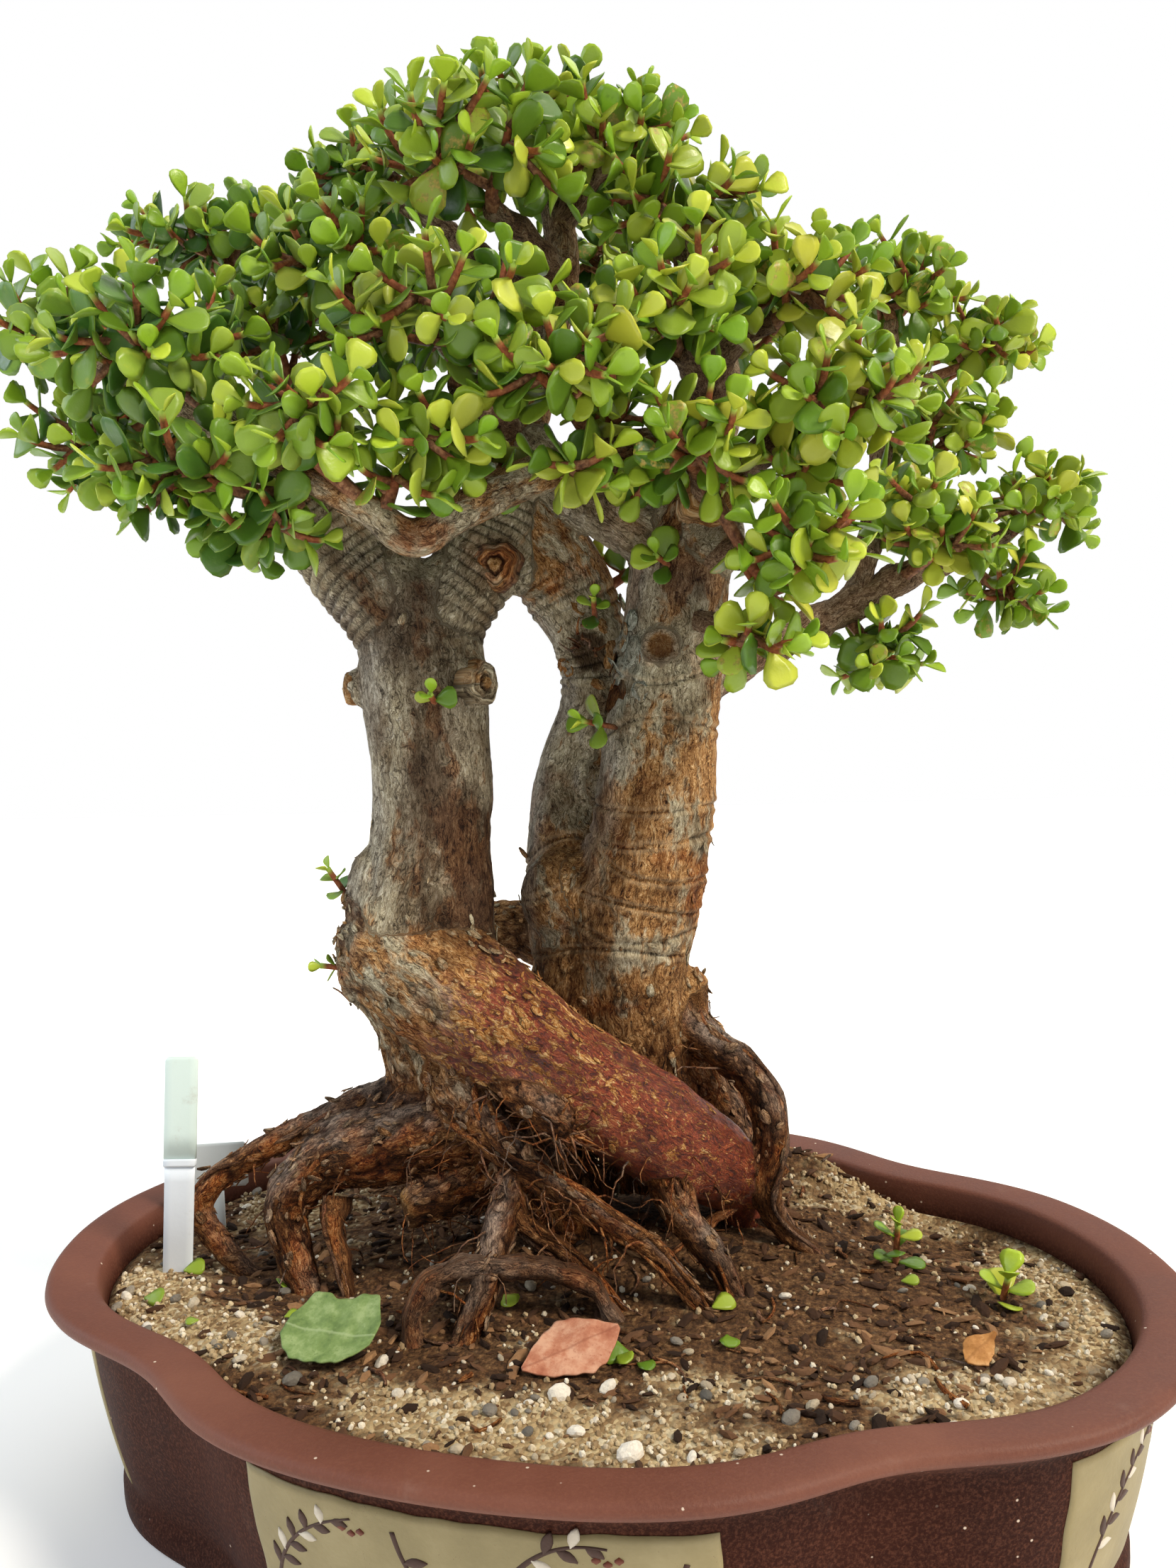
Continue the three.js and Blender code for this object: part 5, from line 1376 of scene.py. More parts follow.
class Crown:
    """Grows leafy twigs, and keeps leaves off the wood and off each other."""

    def __init__(self, bones):
        self.bones = bones
        self.centres = np.full((1, 3), 1e6)

    def leafy_twig(self, batch, leaves, number, twig, pairs, length, spacing):
        steps = np.linspace(0, 1, 8)
        path = bezier(twig, steps)
        run = np.concatenate([[0], np.cumsum(np.linalg.norm(np.diff(path, axis=0), axis=1))])
        radii = twig["radius"] + (min(twig["radius"], TWIG_TIP) - twig["radius"]) * steps
        tangents, sides, across = frames_along(path, twig["side"])
        nodes = [run[-1] - BUD - pair * spacing for pair in range(pairs)]
        bumps = sum(hump(run, node, 1.6) for node in nodes)
        around = 5
        young = np.concatenate([np.repeat(steps, around), steps[:1], steps[-1:]])
        tube(batch, path, radii * (1 + 0.16 * bumps), around, 1, tone=0.5, warm=0.0, young=young, worn=0.0,
             blade=np.zeros((len(young), 3)))
        for pair, node in enumerate(nodes):
            if node < 0.18 * run[-1] or node < 3:
                break
            if pair > 2 and chance(number, twig["k"], 40 + pair) < 0.25:
                continue
            foot = np.array([np.interp(node, run, path[:, i]) for i in range(3)])
            row = min(np.searchsorted(run, node), len(path) - 1)
            tangent, side, over = tangents[row], sides[row], across[row]
            turn = 0.25 * math.pi + pair * 0.5 * math.pi + 0.3 * (chance(number, twig["k"], 60 + pair) - 0.5)
            for half_turn in (0, 1):
                draw = chance(number + 0.5 * half_turn, twig["k"] + 3.1 * pair, np.arange(70, 78))
                angle = turn + math.pi * half_turn + 0.25 * (draw[0] - 0.5)
                out = math.cos(angle) * side + math.sin(angle) * over
                lean = (0.55 if pair == 0 else 0.95 + 0.12 * pair) + 0.4 * (draw[1] - 0.5)
                along = out * math.sin(lean) + tangent * math.cos(lean)
                up = tangent * math.sin(lean) - out * math.cos(lean)
                size = length * LEAF_SIZES[pair] * (0.8 + 0.38 * draw[2])
                middle = foot + along * 0.6 * size
                self.place(leaves, foot + out * 0.6, along, up, size, middle, pair, draw)

    def place(self, leaves, foot, along, up, size, middle, pair, draw):
        _, depth, _ = self.bones.nearest(np.array([middle, foot + along * size]))
        if depth.max() > -LEAF_CLEAR:
            return
        if np.linalg.norm(self.centres - middle, axis=1).min() < 0.36 * size:
            return
        self.centres = np.vstack([self.centres, middle])
        x, y, z = middle
        # Painted light: leaves further right, nearer the front and at the top take more of the sunlit colour,
        # the rest the shaded one.
        warm = np.clip(0.42 + x / 230 - (y - 20) / 420 + 0.34 * (draw[3] - 0.5) + 0.12 * (z > 470), 0, 1)
        young = (1.0, 0.45, 0.1)[pair] * (0.5 + 0.5 * draw[4]) if pair < 3 else 0.0
        worn = 0.9 if draw[5] > 0.93 and pair > 0 and x > -80 else 0.0
        leaves.add(foot, along, up, size, draw[6], warm, young, worn, chance(x, y, np.arange(4) + z))


def crown(bones):
    """The leafy sprays, the shoots out of the bark and the seedlings."""
    grower = Crown(bones)
    sprays = {**SPRAYS, **EXTRA_SPRAYS}
    twigs_by_spray = [first_twigs(number, spray) for number, spray in enumerate(sprays.values())]
    tips = np.array([twig["tip"] for twigs in twigs_by_spray for twig in twigs])
    for number, spray in enumerate(sprays.values()):
        tips = more_twigs(number, spray, twigs_by_spray[number], tips, bones)
    for number, name in enumerate(sprays):
        batch, leaves = Batch(), Leaves()
        for twig in twigs_by_spray[number]:
            grower.leafy_twig(batch, leaves, number, twig, 5 if twig["first"] else 4, 16.0, PAIR_SPACING)
        leaves.build(batch)
        nodes = [f"spray_{name}"] if name in SPRAYS else []
        dress(batch.build("foliage_" + name, [LEAF, TWIG]), "leaf", *nodes)
    grower.bones = NO_WOOD
    for number, (name, (foot, tip, pairs, leaf)) in enumerate(SHOOTS.items()):
        batch, leaves = Batch(), Leaves()
        start, tip = np.array(foot, float), np.array(tip, float)
        side = np.array([0.4, 0.3, 0.2])
        twig = {"k": 0, "start": start, "bend": (start + tip) / 2, "tip": tip, "side": side, "radius": 1.3}
        grower.leafy_twig(batch, leaves, 50 + number, twig, pairs + 1, leaf * 1.05, 5.5)
        leaves.build(batch)
        dress(batch.build("leaves_" + name, [LEAF, TWIG]), "leaf", name)


# The tray.
def outline(angles, offset):
    """Points of the four-lobed outline at an offset from the mouth's edge."""
    angles = np.asarray(angles, float)
    from_notch = np.arctan2(np.abs(np.sin(angles)), np.abs(np.cos(angles))) - NOTCH_AT
    pull = 1 - NOTCH_DEPTH * np.exp(-((from_notch / NOTCH_WIDTH) ** 2))
    half_x, half_y = (half + offset for half in MOUTH_HALF)
    return np.stack([half_x * np.cos(angles) * pull, half_y * np.sin(angles) * pull], -1)


def level_ring(angles, offset, z):
    """The outline's points at one height."""
    return np.concatenate([outline(angles, offset), np.full((len(angles), 1), z)], 1)


# Profile stations: offset from the mouth's edge, and height.
FOOT = [
    [-8, 0.6], [-7.4, 0.1], [-6.2, 0.2], [-5.2, 1.4], [-5, 3.5], [-5, 7.5], [-5.3, 9.6], [-6.4, 11.6],
    [-7, 13.4],
]
WALL_LOW, WALL_HIGH, WALL_SWELL = (-7, 14), (4.6, 75), 1.4
LIP = [
    [5.4, 77.2], [7.4, 79.8], [10.2, 82], [13.6, 84], [16.8, 85.4], [19, 86.9], [19.95, 88.6], [19.6, 90.2],
    [18.4, 91.4], [16.4, 91.9], [12, 91.9], [7, 91.6], [3, 91.2], [1, 90.6], [0, 89.4], [-0.9, 86],
    [-2.8, 78],
]
HOLLOW_SIDE = [[-8.5, 50], [-15, 20], [-16.4, 13], [-18, 10.2], [-21, 9]]
DRAIN_X, DRAIN_RADIUS, CHANNEL_WIDTH, CHANNEL_DEPTH = 95, 7, 12, 4


def wall_offset(z):
    """The outer wall's offset at a height."""
    share = (np.asarray(z, float) - WALL_LOW[1]) / (WALL_HIGH[1] - WALL_LOW[1])
    swell = WALL_SWELL * np.sin(math.pi * np.clip(share, 0, 1))
    return WALL_LOW[0] + share * (WALL_HIGH[0] - WALL_LOW[0]) + swell


def wall_points(angles, z, proud):
    """Points on the tray's outer wall, a little proud of it."""
    angles, z = np.broadcast_arrays(np.asarray(angles, float), np.asarray(z, float))
    flat = outline(angles, wall_offset(z) + proud)
    return np.concatenate([flat, z[..., None]], -1)


def tray():
    """The tray, with its drain holes and the channels that lead from them cut out."""
    around = 300
    angles = circle(around)
    heights = np.linspace(WALL_LOW[1], WALL_HIGH[1], 14)
    profile = FOOT + [[float(wall_offset(z)), z] for z in heights] + LIP + HOLLOW_SIDE
    points = np.vstack([*(level_ring(angles, offset, z) for offset, z in profile), [0, 0, 0.6], [0, 0, 9]])
    outward = points * (1, 1, 0) / np.maximum(np.linalg.norm(points[:, :2], axis=1), 1)[:, None]
    points += outward * (0.35 * noise(points / 34, 2) * (points[:, 2] > 12))[:, None]
    batch = Batch()
    batch.add_rings(points, around)
    rough = batch.build("rough_tray", [])
    cutters = []
    for x in (-DRAIN_X, DRAIN_X):
        hole, channel = Batch(), Batch()
        tube(hole, np.array([[x, 0, z] for z in (-20, 0, 20)], float), np.full(3, float(DRAIN_RADIUS)), 32)
        low, high = x - CHANNEL_WIDTH / 2, x + CHANNEL_WIDTH / 2
        top = np.array([[[low, y, CHANNEL_DEPTH], [high, y, CHANNEL_DEPTH]] for y in (-220, 220)], float)
        slab(channel, top, top - (0, 0, 20))
        cutters += [hole.build("hole", []), channel.build("channel", [])]
    for cutter in cutters:
        cut = rough.modifiers.new("drain", "BOOLEAN")
        cut.operation, cut.solver, cut.object = "DIFFERENCE", "EXACT", cutter
    graph = bpy.context.evaluated_depsgraph_get()
    mesh = bpy.data.meshes.new_from_object(rough.evaluated_get(graph))
    for scrap in [rough, *cutters]:
        bpy.data.objects.remove(scrap)
    mesh.name = "tray"
    mesh.materials.append(STONEWARE)
    piece = bpy.data.objects.new("tray", mesh)
    bpy.context.scene.collection.objects.link(piece)
    for polygon in mesh.polygons:
        polygon.use_smooth = True
    mesh.set_sharp_from_angle(angle=math.radians(50))
    return piece


def slab(batch, front, back, slot=0, **values):
    """A closed thin piece between two grids of points, (rows, columns, 3) each."""
    rows, columns = front.shape[:2]
    count = rows * columns
    face = grid_faces(rows, columns, closed=False)
    number = np.arange(count).reshape(rows, columns)
    loop = np.concatenate([number[0, :-1], number[:-1, -1], number[-1, :0:-1], number[:0:-1, 0]])
    following = np.roll(loop, -1)
    sides = np.stack([loop, following, following + count, loop + count], 1)
    points = np.concatenate([front.reshape(-1, 3), back.reshape(-1, 3)])
    normal = np.cross(front[0, 1] - front[0, 0], front[1, 0] - front[0, 0])
    flip = normal @ (front[0, 0] - back[0, 0]) > 0
    faces = np.concatenate([face, face[:, ::-1] + count, sides[:, ::-1]])
    batch.add(points, faces if flip else faces[:, ::-1], None, slot, **values)


# The glazed panel on each lobe: the middle angle, and half its length along the wall.
PANELS = [(-90, 76), (0, 84), (90, 76), (180, 84)]
PANEL_LOW, PANEL_HIGH = 16, 73


def angles_along(middle, distances):
    """Angles of points at these distances along the wall from a middle angle, in degrees."""
    fine = math.radians(middle) + np.linspace(-0.95, 0.95, 400)
    line = outline(fine, 0)
    run = np.concatenate([[0], np.cumsum(np.linalg.norm(np.diff(line, axis=0), axis=1))])
    run -= np.interp(math.radians(middle), fine, run)
    return np.interp(distances, run, fine)


def panels():
    """The pale glazed panels, a thin skin on the wall with an uneven edge."""
    batch = Batch()
    for middle, half in PANELS:
        across = np.linspace(-half, half, 90)
        share = np.linspace(0, 1, 22)
        low = PANEL_LOW + 0.8 * noise_at(across / 16, middle, 0, 2)
        high = PANEL_HIGH - 0.9 * noise_at(across / 14, 9, 0, 2)
        z = low + share[:, None] * (high - low)
        edge = 0.9 * noise_at(share * 5, middle, 3)[:, None]
        angles = angles_along(middle, across + edge * across / half)
        from_ends = np.minimum(share, 1 - share)[:, None] * (PANEL_HIGH - PANEL_LOW)
        border = np.minimum(from_ends, half - np.abs(across))
        proud = 0.35 + 0.45 * ramp_up(border, 0, 1.6)
        slab(batch, wall_points(angles, z, proud), wall_points(angles, z, -0.6))
    return batch.build("panels", [PANEL])


def stroke(batch, middle, rows, slot, proud):
    """A flat painted stroke on a panel: rows of distance along the wall, height and half width."""
    rows, _ = run_along([[x, z, 0, width] for x, z, width in rows], 1.6)
    path, half = rows[:, :2], rows[:, 3]
    tangent = np.gradient(path, axis=0)
    tangent /= np.maximum(np.linalg.norm(tangent, axis=1), 1e-6)[:, None]
    side = np.stack([-tangent[:, 1], tangent[:, 0]], 1)
    across = np.array([-1, -0.5, 0.5, 1])
    flat = path[:, None, :] + side[:, None, :] * (half[:, None] * across)[:, :, None]
    angles = angles_along(middle, flat[..., 0])
    height = np.broadcast_to(np.array([proud - 0.35, proud, proud, proud - 0.35]), angles.shape)
    slab(batch, wall_points(angles, flat[..., 1], height), wall_points(angles, flat[..., 1], 0.2), slot)


def sprig(batch, middle, foot, tip, bow, leaves, flip, pale):
    """A generic painted sprig: a bowed stem with pairs of small leaves and a few berries."""
    foot, tip = np.array(foot, float), np.array(tip, float)
    lean = np.array([-(tip - foot)[1], (tip - foot)[0]]) * bow

    def on_stem(t):
        return foot + t * (tip - foot) + 4 * t * (1 - t) * lean

    stroke(batch, middle, [[*on_stem(0.2 * i), 0.9 - 0.1 * i] for i in range(6)], 0, 1.15)
    for i in range(leaves):
        t = 0.2 + 0.75 * i / leaves
        at = on_stem(t)
        way = (tip - foot) / np.linalg.norm(tip - foot)
        out = np.array(turned(*way, (0.9 if i % 2 else -0.9) * flip))
        size = 8.5 - 3 * t
        rows = [[*(at + out * size * u), w] for u, w in ((0, 0.25), (0.3, 1.5), (0.6, 1.7), (1, 0.2))]
        stroke(batch, middle, rows, 1 if pale and i % 3 == 0 else 0, 1.2)
    for i in range(3):
        x, z = tip + np.array([3.2 * (i - 1), -3.5 - 1.2 * (i % 2)])
        berry = [[x - 1.3, z, 0.3], [x, z, 1.3], [x + 1.3, z, 0.3]]
        stroke(batch, middle, berry, 2 if pale else 0, 1.25)


def motifs():
    """The same generic sprigs on each panel."""
    batch = Batch()
    for middle, _ in PANELS:
        sprig(batch, middle, (-70, 26), (-34, 67), 0.16, 11, 1, True)
        sprig(batch, middle, (-20, 66), (12, 38), -0.2, 8, -1, False)
        sprig(batch, middle, (66, 64), (30, 30), 0.16, 9, -1, True)
        sprig(batch, middle, (18, 60), (44, 69), 0.14, 5, 1, True)
    return batch.build("panel_motifs", [INK, CHALK, RUST])


# The soil.
# Rises and hollows: x, y, half width, half depth and rise.
MOUNDS = [(-8, 30, 85, 48, 13), (76, 112, 40, 24, 13), (150, 66, 42, 40, -7), (-60, -70, 60, 30, 2)]
SANDY_SPOTS = [
    (-117, -76, 46, 20), (-168, -48, 26, 26), (40, -104, 62, 17), (-12, -106, 46, 15), (187, -14, 16, 44),
    (146, -62, 34, 20), (110, 96, 40, 26), (-150, 40, 30, 40), (-40, 122, 60, 20), (178, 50, 26, 30),
    (60, -70, 24, 12),
]
RIM_LEVEL = 78


def soil_height(x, y):
    """The height of the soil without its small lumps."""
    total = SOIL_LEVEL + 0.7 * np.sin(x / 17 + 1.3) * np.cos(y / 13) + 0.5 * np.sin((x + 2 * y) / 23)
    for *place, rise in MOUNDS:
        total = total + rise * mound(x, y, *place)
    return total


def rough_ground(x, y):
    """The height of the soil's top."""
    return soil_height(x, y) + 0.9 * noise_at(x / 9, y / 9, 0, 2) + 0.55 * noise_at(x / 3.1, y / 3.1, 0, 2)


def sandiness(x, y):
    """From 0 where the soil is humus to 1 where it is sand."""
    total = 0.5 * noise_at(x / 15, y / 15, 0, 3) + 0.45 * noise_at(x / 3.6, y / 3.6, 0, 2)
    for place in SANDY_SPOTS:
        total = total + mound(x, y, *place)
    return ramp_up(total, 0.22, 0.9)


def soil():
    """The ground: a ring low in the tray, one up its side, and rings that close in over the top."""
    around = 288
    angles = circle(around)
    slope = 16 / (POT_HEIGHT - 15)
    edge = outline(angles, -16 + slope * (RIM_LEVEL - 15) - 0.3)
    shares = 1 - (np.arange(70) / 70) ** 0.85
    rings = [level_ring(angles, -21, 9.3), level_ring(angles, -16.7, 15.0)]
    for k, share in enumerate(shares):
        x, y = (edge * share).T
        rings.append(np.stack([x, y, rough_ground(x, y) if k else 0 * x + RIM_LEVEL], 1))
    points = np.vstack([*rings, [0, 0, 9.3], [0, 0, float(rough_ground(0.0, 0.0))]])
    batch = Batch()
    batch.add_rings(points, around, sandy=sandiness(points[:, 0], points[:, 1]))
    return batch.build("ground", [SOIL])


def icosahedron():
    """The points and faces of an icosahedron of radius 1."""
    g = (1 + 5**0.5) / 2
    points = np.array([
        [-1, g, 0], [1, g, 0], [-1, -g, 0], [1, -g, 0], [0, -1, g], [0, 1, g],
        [0, -1, -g], [0, 1, -g], [g, 0, -1], [g, 0, 1], [-g, 0, -1], [-g, 0, 1],
    ])
    faces = np.array([
        [0, 11, 5], [0, 5, 1], [0, 1, 7], [0, 7, 10], [0, 10, 11], [1, 5, 9], [5, 11, 4], [11, 10, 2],
        [10, 7, 6], [7, 1, 8], [3, 9, 4], [3, 4, 2], [3, 2, 6], [3, 6, 8], [3, 8, 9], [4, 9, 5], [2, 4, 11],
        [6, 2, 10], [8, 6, 7], [9, 8, 1],
    ])
    return points / math.sqrt(1 + g * g), faces


def round_stone():
    """An icosahedron with each face cut in four."""
    points, faces = icosahedron()
    points, cuts, smaller = list(points), {}, []

    def between(a, b):
        key = (min(a, b), max(a, b))
        if key not in cuts:
            middle = points[a] + points[b]
            points.append(middle / np.linalg.norm(middle))
            cuts[key] = len(points) - 1
        return cuts[key]

    for a, b, c in faces:
        ab, bc, ca = between(a, b), between(b, c), between(c, a)
        smaller += [[a, ab, ca], [b, bc, ab], [c, ca, bc], [ab, bc, ca]]
    return np.array(points), np.array(smaller)


SUNK = 0.3  # the share of a grain's height that lies in the soil


def scatter(batch, shape, places, sizes, draws, rough, tints=None):
    """Copies of a shape lying on the soil, each turned and roughened by its own draws."""
    points, faces = shape
    if tints is None:
        tints = draws.random(len(places))
    turn = 2 * math.pi * draws.random(len(places))
    lean = (draws.random((len(places), 2)) - 0.5) * 0.7
    jitter = 1 + rough * (draws.random((len(places), len(points))) - 0.5)
    local = points[None] * jitter[:, :, None] * sizes[:, None, :]
    x, y = turned(local[:, :, 0], local[:, :, 1], turn[:, None])
    z = local[:, :, 2] + x * lean[:, :1] + y * lean[:, 1:]
    ground = rough_ground(places[:, 0], places[:, 1]) + sizes[:, 2] * (1 - 2 * SUNK)
    world = np.stack([x + places[:, :1], y + places[:, 1:2], z + ground[:, None]], -1)
    shift = (len(points) * np.arange(len(places)))[:, None, None]
    tris = (faces[None] + shift).reshape(-1, 3)
    batch.add(world.reshape(-1, 3), None, tris, tint=np.repeat(tints, len(points)))


def spots(count, draws, bones, keep):
    """Random places on the soil, clear of the wood, kept by a chance that depends on the place."""
    x, y = (draws.random((2, count)) * 2 - 1) * np.array([[196], [130]])
    angles = np.arctan2(y / MOUTH_HALF[1], x / MOUTH_HALF[0])
    edge = np.linalg.norm(outline(angles, -5), axis=1)
    inside = np.hypot(x, y) < edge - 1
    x, y = x[inside], y[inside]
    chosen = draws.random(len(x)) < keep(x, y)
    x, y = x[chosen], y[chosen]
    _, depth, _ = bones.nearest(np.stack([x, y, rough_ground(x, y) + 1], 1))
    return np.stack([x, y], 1)[depth < 0.5]


# The larger stones: x, y, length and tint.
STONES = [
    (53, -2, 8, 0.97), (16, -88, 8, 0.96), (30, -80, 6.5, 0.93), (46, -113, 9, 0.99), (-76, -99, 8, 0.12),
    (91, -85, 7, 0.2),
]


def loose_soil(bones):
    """Sand, bark chips and pebbles on the soil."""
    draws = np.random.default_rng(11)
    sand = spots(15000, draws, bones, lambda x, y: 0.09 + 0.85 * sandiness(x, y))
    batch = Batch()
    size = 0.55 + 0.75 * draws.random((len(sand), 1)) ** 2
    scatter(batch, icosahedron(), sand, size * (0.8 + 0.4 * draws.random((len(sand), 3))), draws, 0.3)
    dress(batch.build("sand", [SAND], smooth=False), "soil")

    chips = spots(3600, draws, bones, lambda x, y: 1 - 0.8 * sandiness(x, y))
    batch = Batch()
    size = 1.1 + 4.2 * draws.random((len(chips), 1)) ** 2.2
    sizes = size * (1.0, 0.42, 0.26) * (0.7 + 0.6 * draws.random((len(chips), 3)))
    scatter(batch, icosahedron(), chips, sizes, draws, 0.5)
    dress(batch.build("bark_chips", [CHIPS], smooth=False), "soil")

    pebbles = spots(900, draws, bones, lambda x, y: 0.3 + 0.7 * sandiness(x, y))
    batch = Batch()
    size = 1.0 + 2.0 * draws.random((len(pebbles), 1)) ** 2
    sizes = size * (1, 0.8, 0.6) * (0.8 + 0.4 * draws.random((len(pebbles), 3)))
    scatter(batch, round_stone(), pebbles, sizes, draws, 0.16)
    places, lengths, tints = np.split(np.array(STONES), (2, 3), axis=1)
    scatter(batch, round_stone(), places, 0.5 * lengths * (1, 0.75, 0.6), draws, 0.22, tints)
    dress(batch.build("pebbles", [PEBBLES], smooth=False), "soil")


# Fine roots: how many strands run along each of these stout ones.
BUNDLES = {
    "centreLong": 5, "thin": 3, "peeled": 3, "frontDrop": 4, "rightLow": 4, "leftLong": 2, "leftThick": 5,
    "rightOuter": 3, "leftLeg": 2, "backRight": 3, "backCentre": 3, "backLeft": 3,
}


def root_tube(batch, path, radii, number):
    """Adds one root, uneven in thickness."""
    around = 7 if radii.max() > 1.4 else 5
    steps = np.arange(len(path))
    rings = radii[:, None] * (0.86 + 0.34 * chance(steps[:, None] // 2, np.arange(around), number))
    points = tube_points(path, rings, around)
    run = np.concatenate([[0], np.cumsum(np.linalg.norm(np.diff(path, axis=0), axis=1))])
    grain = points * 0
    grain[:, 0] = chance(number, 1, 2) * 40
    grain[: len(path) * around, 1] = np.tile(np.arange(around) * radii.mean(), len(path))
    grain[: len(path) * around, 2] = np.repeat(run, around)
    top, crease = chance(number, 6, 1) ** 2, -0.3 + 0.4 * chance(number, 4, 4)
    batch.add_rings(points, around, grain=grain, **{**PLAIN_BARK, "root": 1.0, "top": top, "crease": crease})


HAIR_ROOTS, CLEAR_OF_STAKE = 330, -156
# Torn ends: place, heading, width, how many fibres, and their length.
FRAYED = [((3, -28, 148), (0.8, -0.15, -0.55), 5, 34, 15), ((-10, -28, 158), (0.7, -0.5, -0.45), 5, 16, 11),
          ((-40, -18, 160), (0.1, -0.7, -0.7), 8, 14, 10), ((-5, 51, 338), (0.1, -0.8, 0.4), 6, 16, 6)]


def frayed(batch, draws, at, way, width, count, length, number):
    """Torn fibres that stand out of a broken end."""
    way = np.array(way) / np.linalg.norm(way)
    for strand in range(count):
        start = np.array(at) + draws.normal(size=3) * width * 0.45 - way * 3
        heading = way + 0.45 * draws.normal(size=3)
        reach = length * (0.35 + 0.65 * draws.random())
        bend = 0.35 * draws.normal(size=3)
        steps = np.linspace(0, 1, 5)[:, None]
        path = start + steps * heading * reach + steps**2 * bend * reach
        root_tube(batch, path, np.linspace(0.5 + 0.5 * draws.random(), 0.2, 5), 900 + 40 * number + strand)


def rootlets(bones):
    """Thin roots: the ones that the CAD model has, strands that run along the stout ones, and hair roots."""
    batch = Batch()
    for number, stations in enumerate(THIN_ROOTS.values()):
        rows, run = run_along(stations, 2.2)
        sway = np.stack([noise_at(run / 11, axis, number, 2) for axis in range(3)], 1)
        root_tube(batch, rows[:, :3] + 1.4 * sway, rows[:, 3] * (1 + 0.12 * np.sin(run / 3.3)), number)
    for number, (name, strands) in enumerate(BUNDLES.items()):
        rows, run = run_along(ROOTS[name], 2.6)
        _, sides, across = frames_along(rows[:, :3])
        for strand in range(strands):
            seed = 20 * number + strand
            angle = 2 * math.pi * chance(seed, 1, 1) + 1.6 * noise_at(run / 38, seed, 0, 2)
            away = rows[:, 3] * (0.86 + 0.3 * noise_at(run / 24, 0, seed, 2)) + 0.4
            offset = sides * (np.cos(angle) * away)[:, None] + across * (np.sin(angle) * away)[:, None]
            radii = (1.0 + 1.1 * chance(seed, 2, 3)) * (1 - 0.45 * run / run[-1])
            radii = radii * (0.9 + 0.2 * np.sin(run / 2.9 + seed))
            root_tube(batch, rows[:, :3] + offset, radii, 100 + seed)
    draws = np.random.default_rng(5)
    x, y, z = bones.at.T
    rooty = np.isin(np.array(bones.names)[bones.limb], [*ROOTS, "crossingRoot"])
    tangle = 0.15 + mound(x, z, -8, 142, 42, 26) * (y < 30)
    weights = rooty * (z > 88) * (z < 178) * (x < 62) * tangle
    weights /= weights.sum()
    for number in range(HAIR_ROOTS):
        sample = draws.choice(len(weights), p=weights)
        way = draws.normal(size=3)
        way[2] = -abs(way[2]) * 0.5
        way[1] -= 0.35
        way /= np.linalg.norm(way)
        at = bones.at[sample] + way * bones.radius[sample] * 0.92
        steps = draws.integers(4, 11)
        path, heading = [at], way * 0.6 + bones.tangent[sample] * draws.choice([-1, 1]) * 0.5
        for _ in range(steps):
            heading = heading + 0.3 * draws.normal(size=3) + (0, 0, -0.16)
            heading /= np.linalg.norm(heading)
            at = at + heading * 3.4
            path.append(at)
            if at[2] < soil_height(at[0], at[1]) - 2:
                break
        reach = [point[0] for point in path]
        if len(path) > 3 and max(reach) < 62:
            radii = np.linspace(0.28 + 0.42 * draws.random() ** 2, 0.18, len(path))
            if min(reach) > CLEAR_OF_STAKE:
                root_tube(batch, np.array(path), radii, 300 + number)
    for number, (at, way, width, count, length) in enumerate(FRAYED):
        frayed(batch, draws, at, way, width, count, length, number)
    return batch.build("rootlets", [BARK])


# Labels and fallen leaves.
STAKE_AT, STAKE_TURN, STAKE_WIDTH, STAKE_THICKNESS = (-169, -33, 60), 0.2, 14, 1.2
STAKE_LEAN = 0.075
CARD_AT, CARD_TURN, CARD_THICKNESS = (-179, 10, 46), 0.35, 1.0
CARD_WIDTH, CARD_LENGTH, CARD_HEAD, CARD_STEM = 34, 74, 20, 12


def upright(batch, at, turn, rows, thickness, slot, lean=0.0):
    """An upright plate: rows of height and half width."""
    rows = np.array(rows, float)
    across = np.array([-1, -1, -0.5, 0, 0.5, 1, 1.0])
    inset = np.array([0, 0.25, 0, 0, 0, -0.25, 0])
    x = rows[:, 1:2] * across + inset + lean * rows[:, :1]
    z = np.broadcast_to(rows[:, :1], x.shape)
    depth = np.broadcast_to(np.array([0.4, 1, 1, 1, 1, 1, 0.4]) * thickness / 2, x.shape)

    def face(y):
        return np.stack([*turned(x, y, turn), z], -1) + np.array(at)

    slab(batch, face(-depth), face(depth), slot)


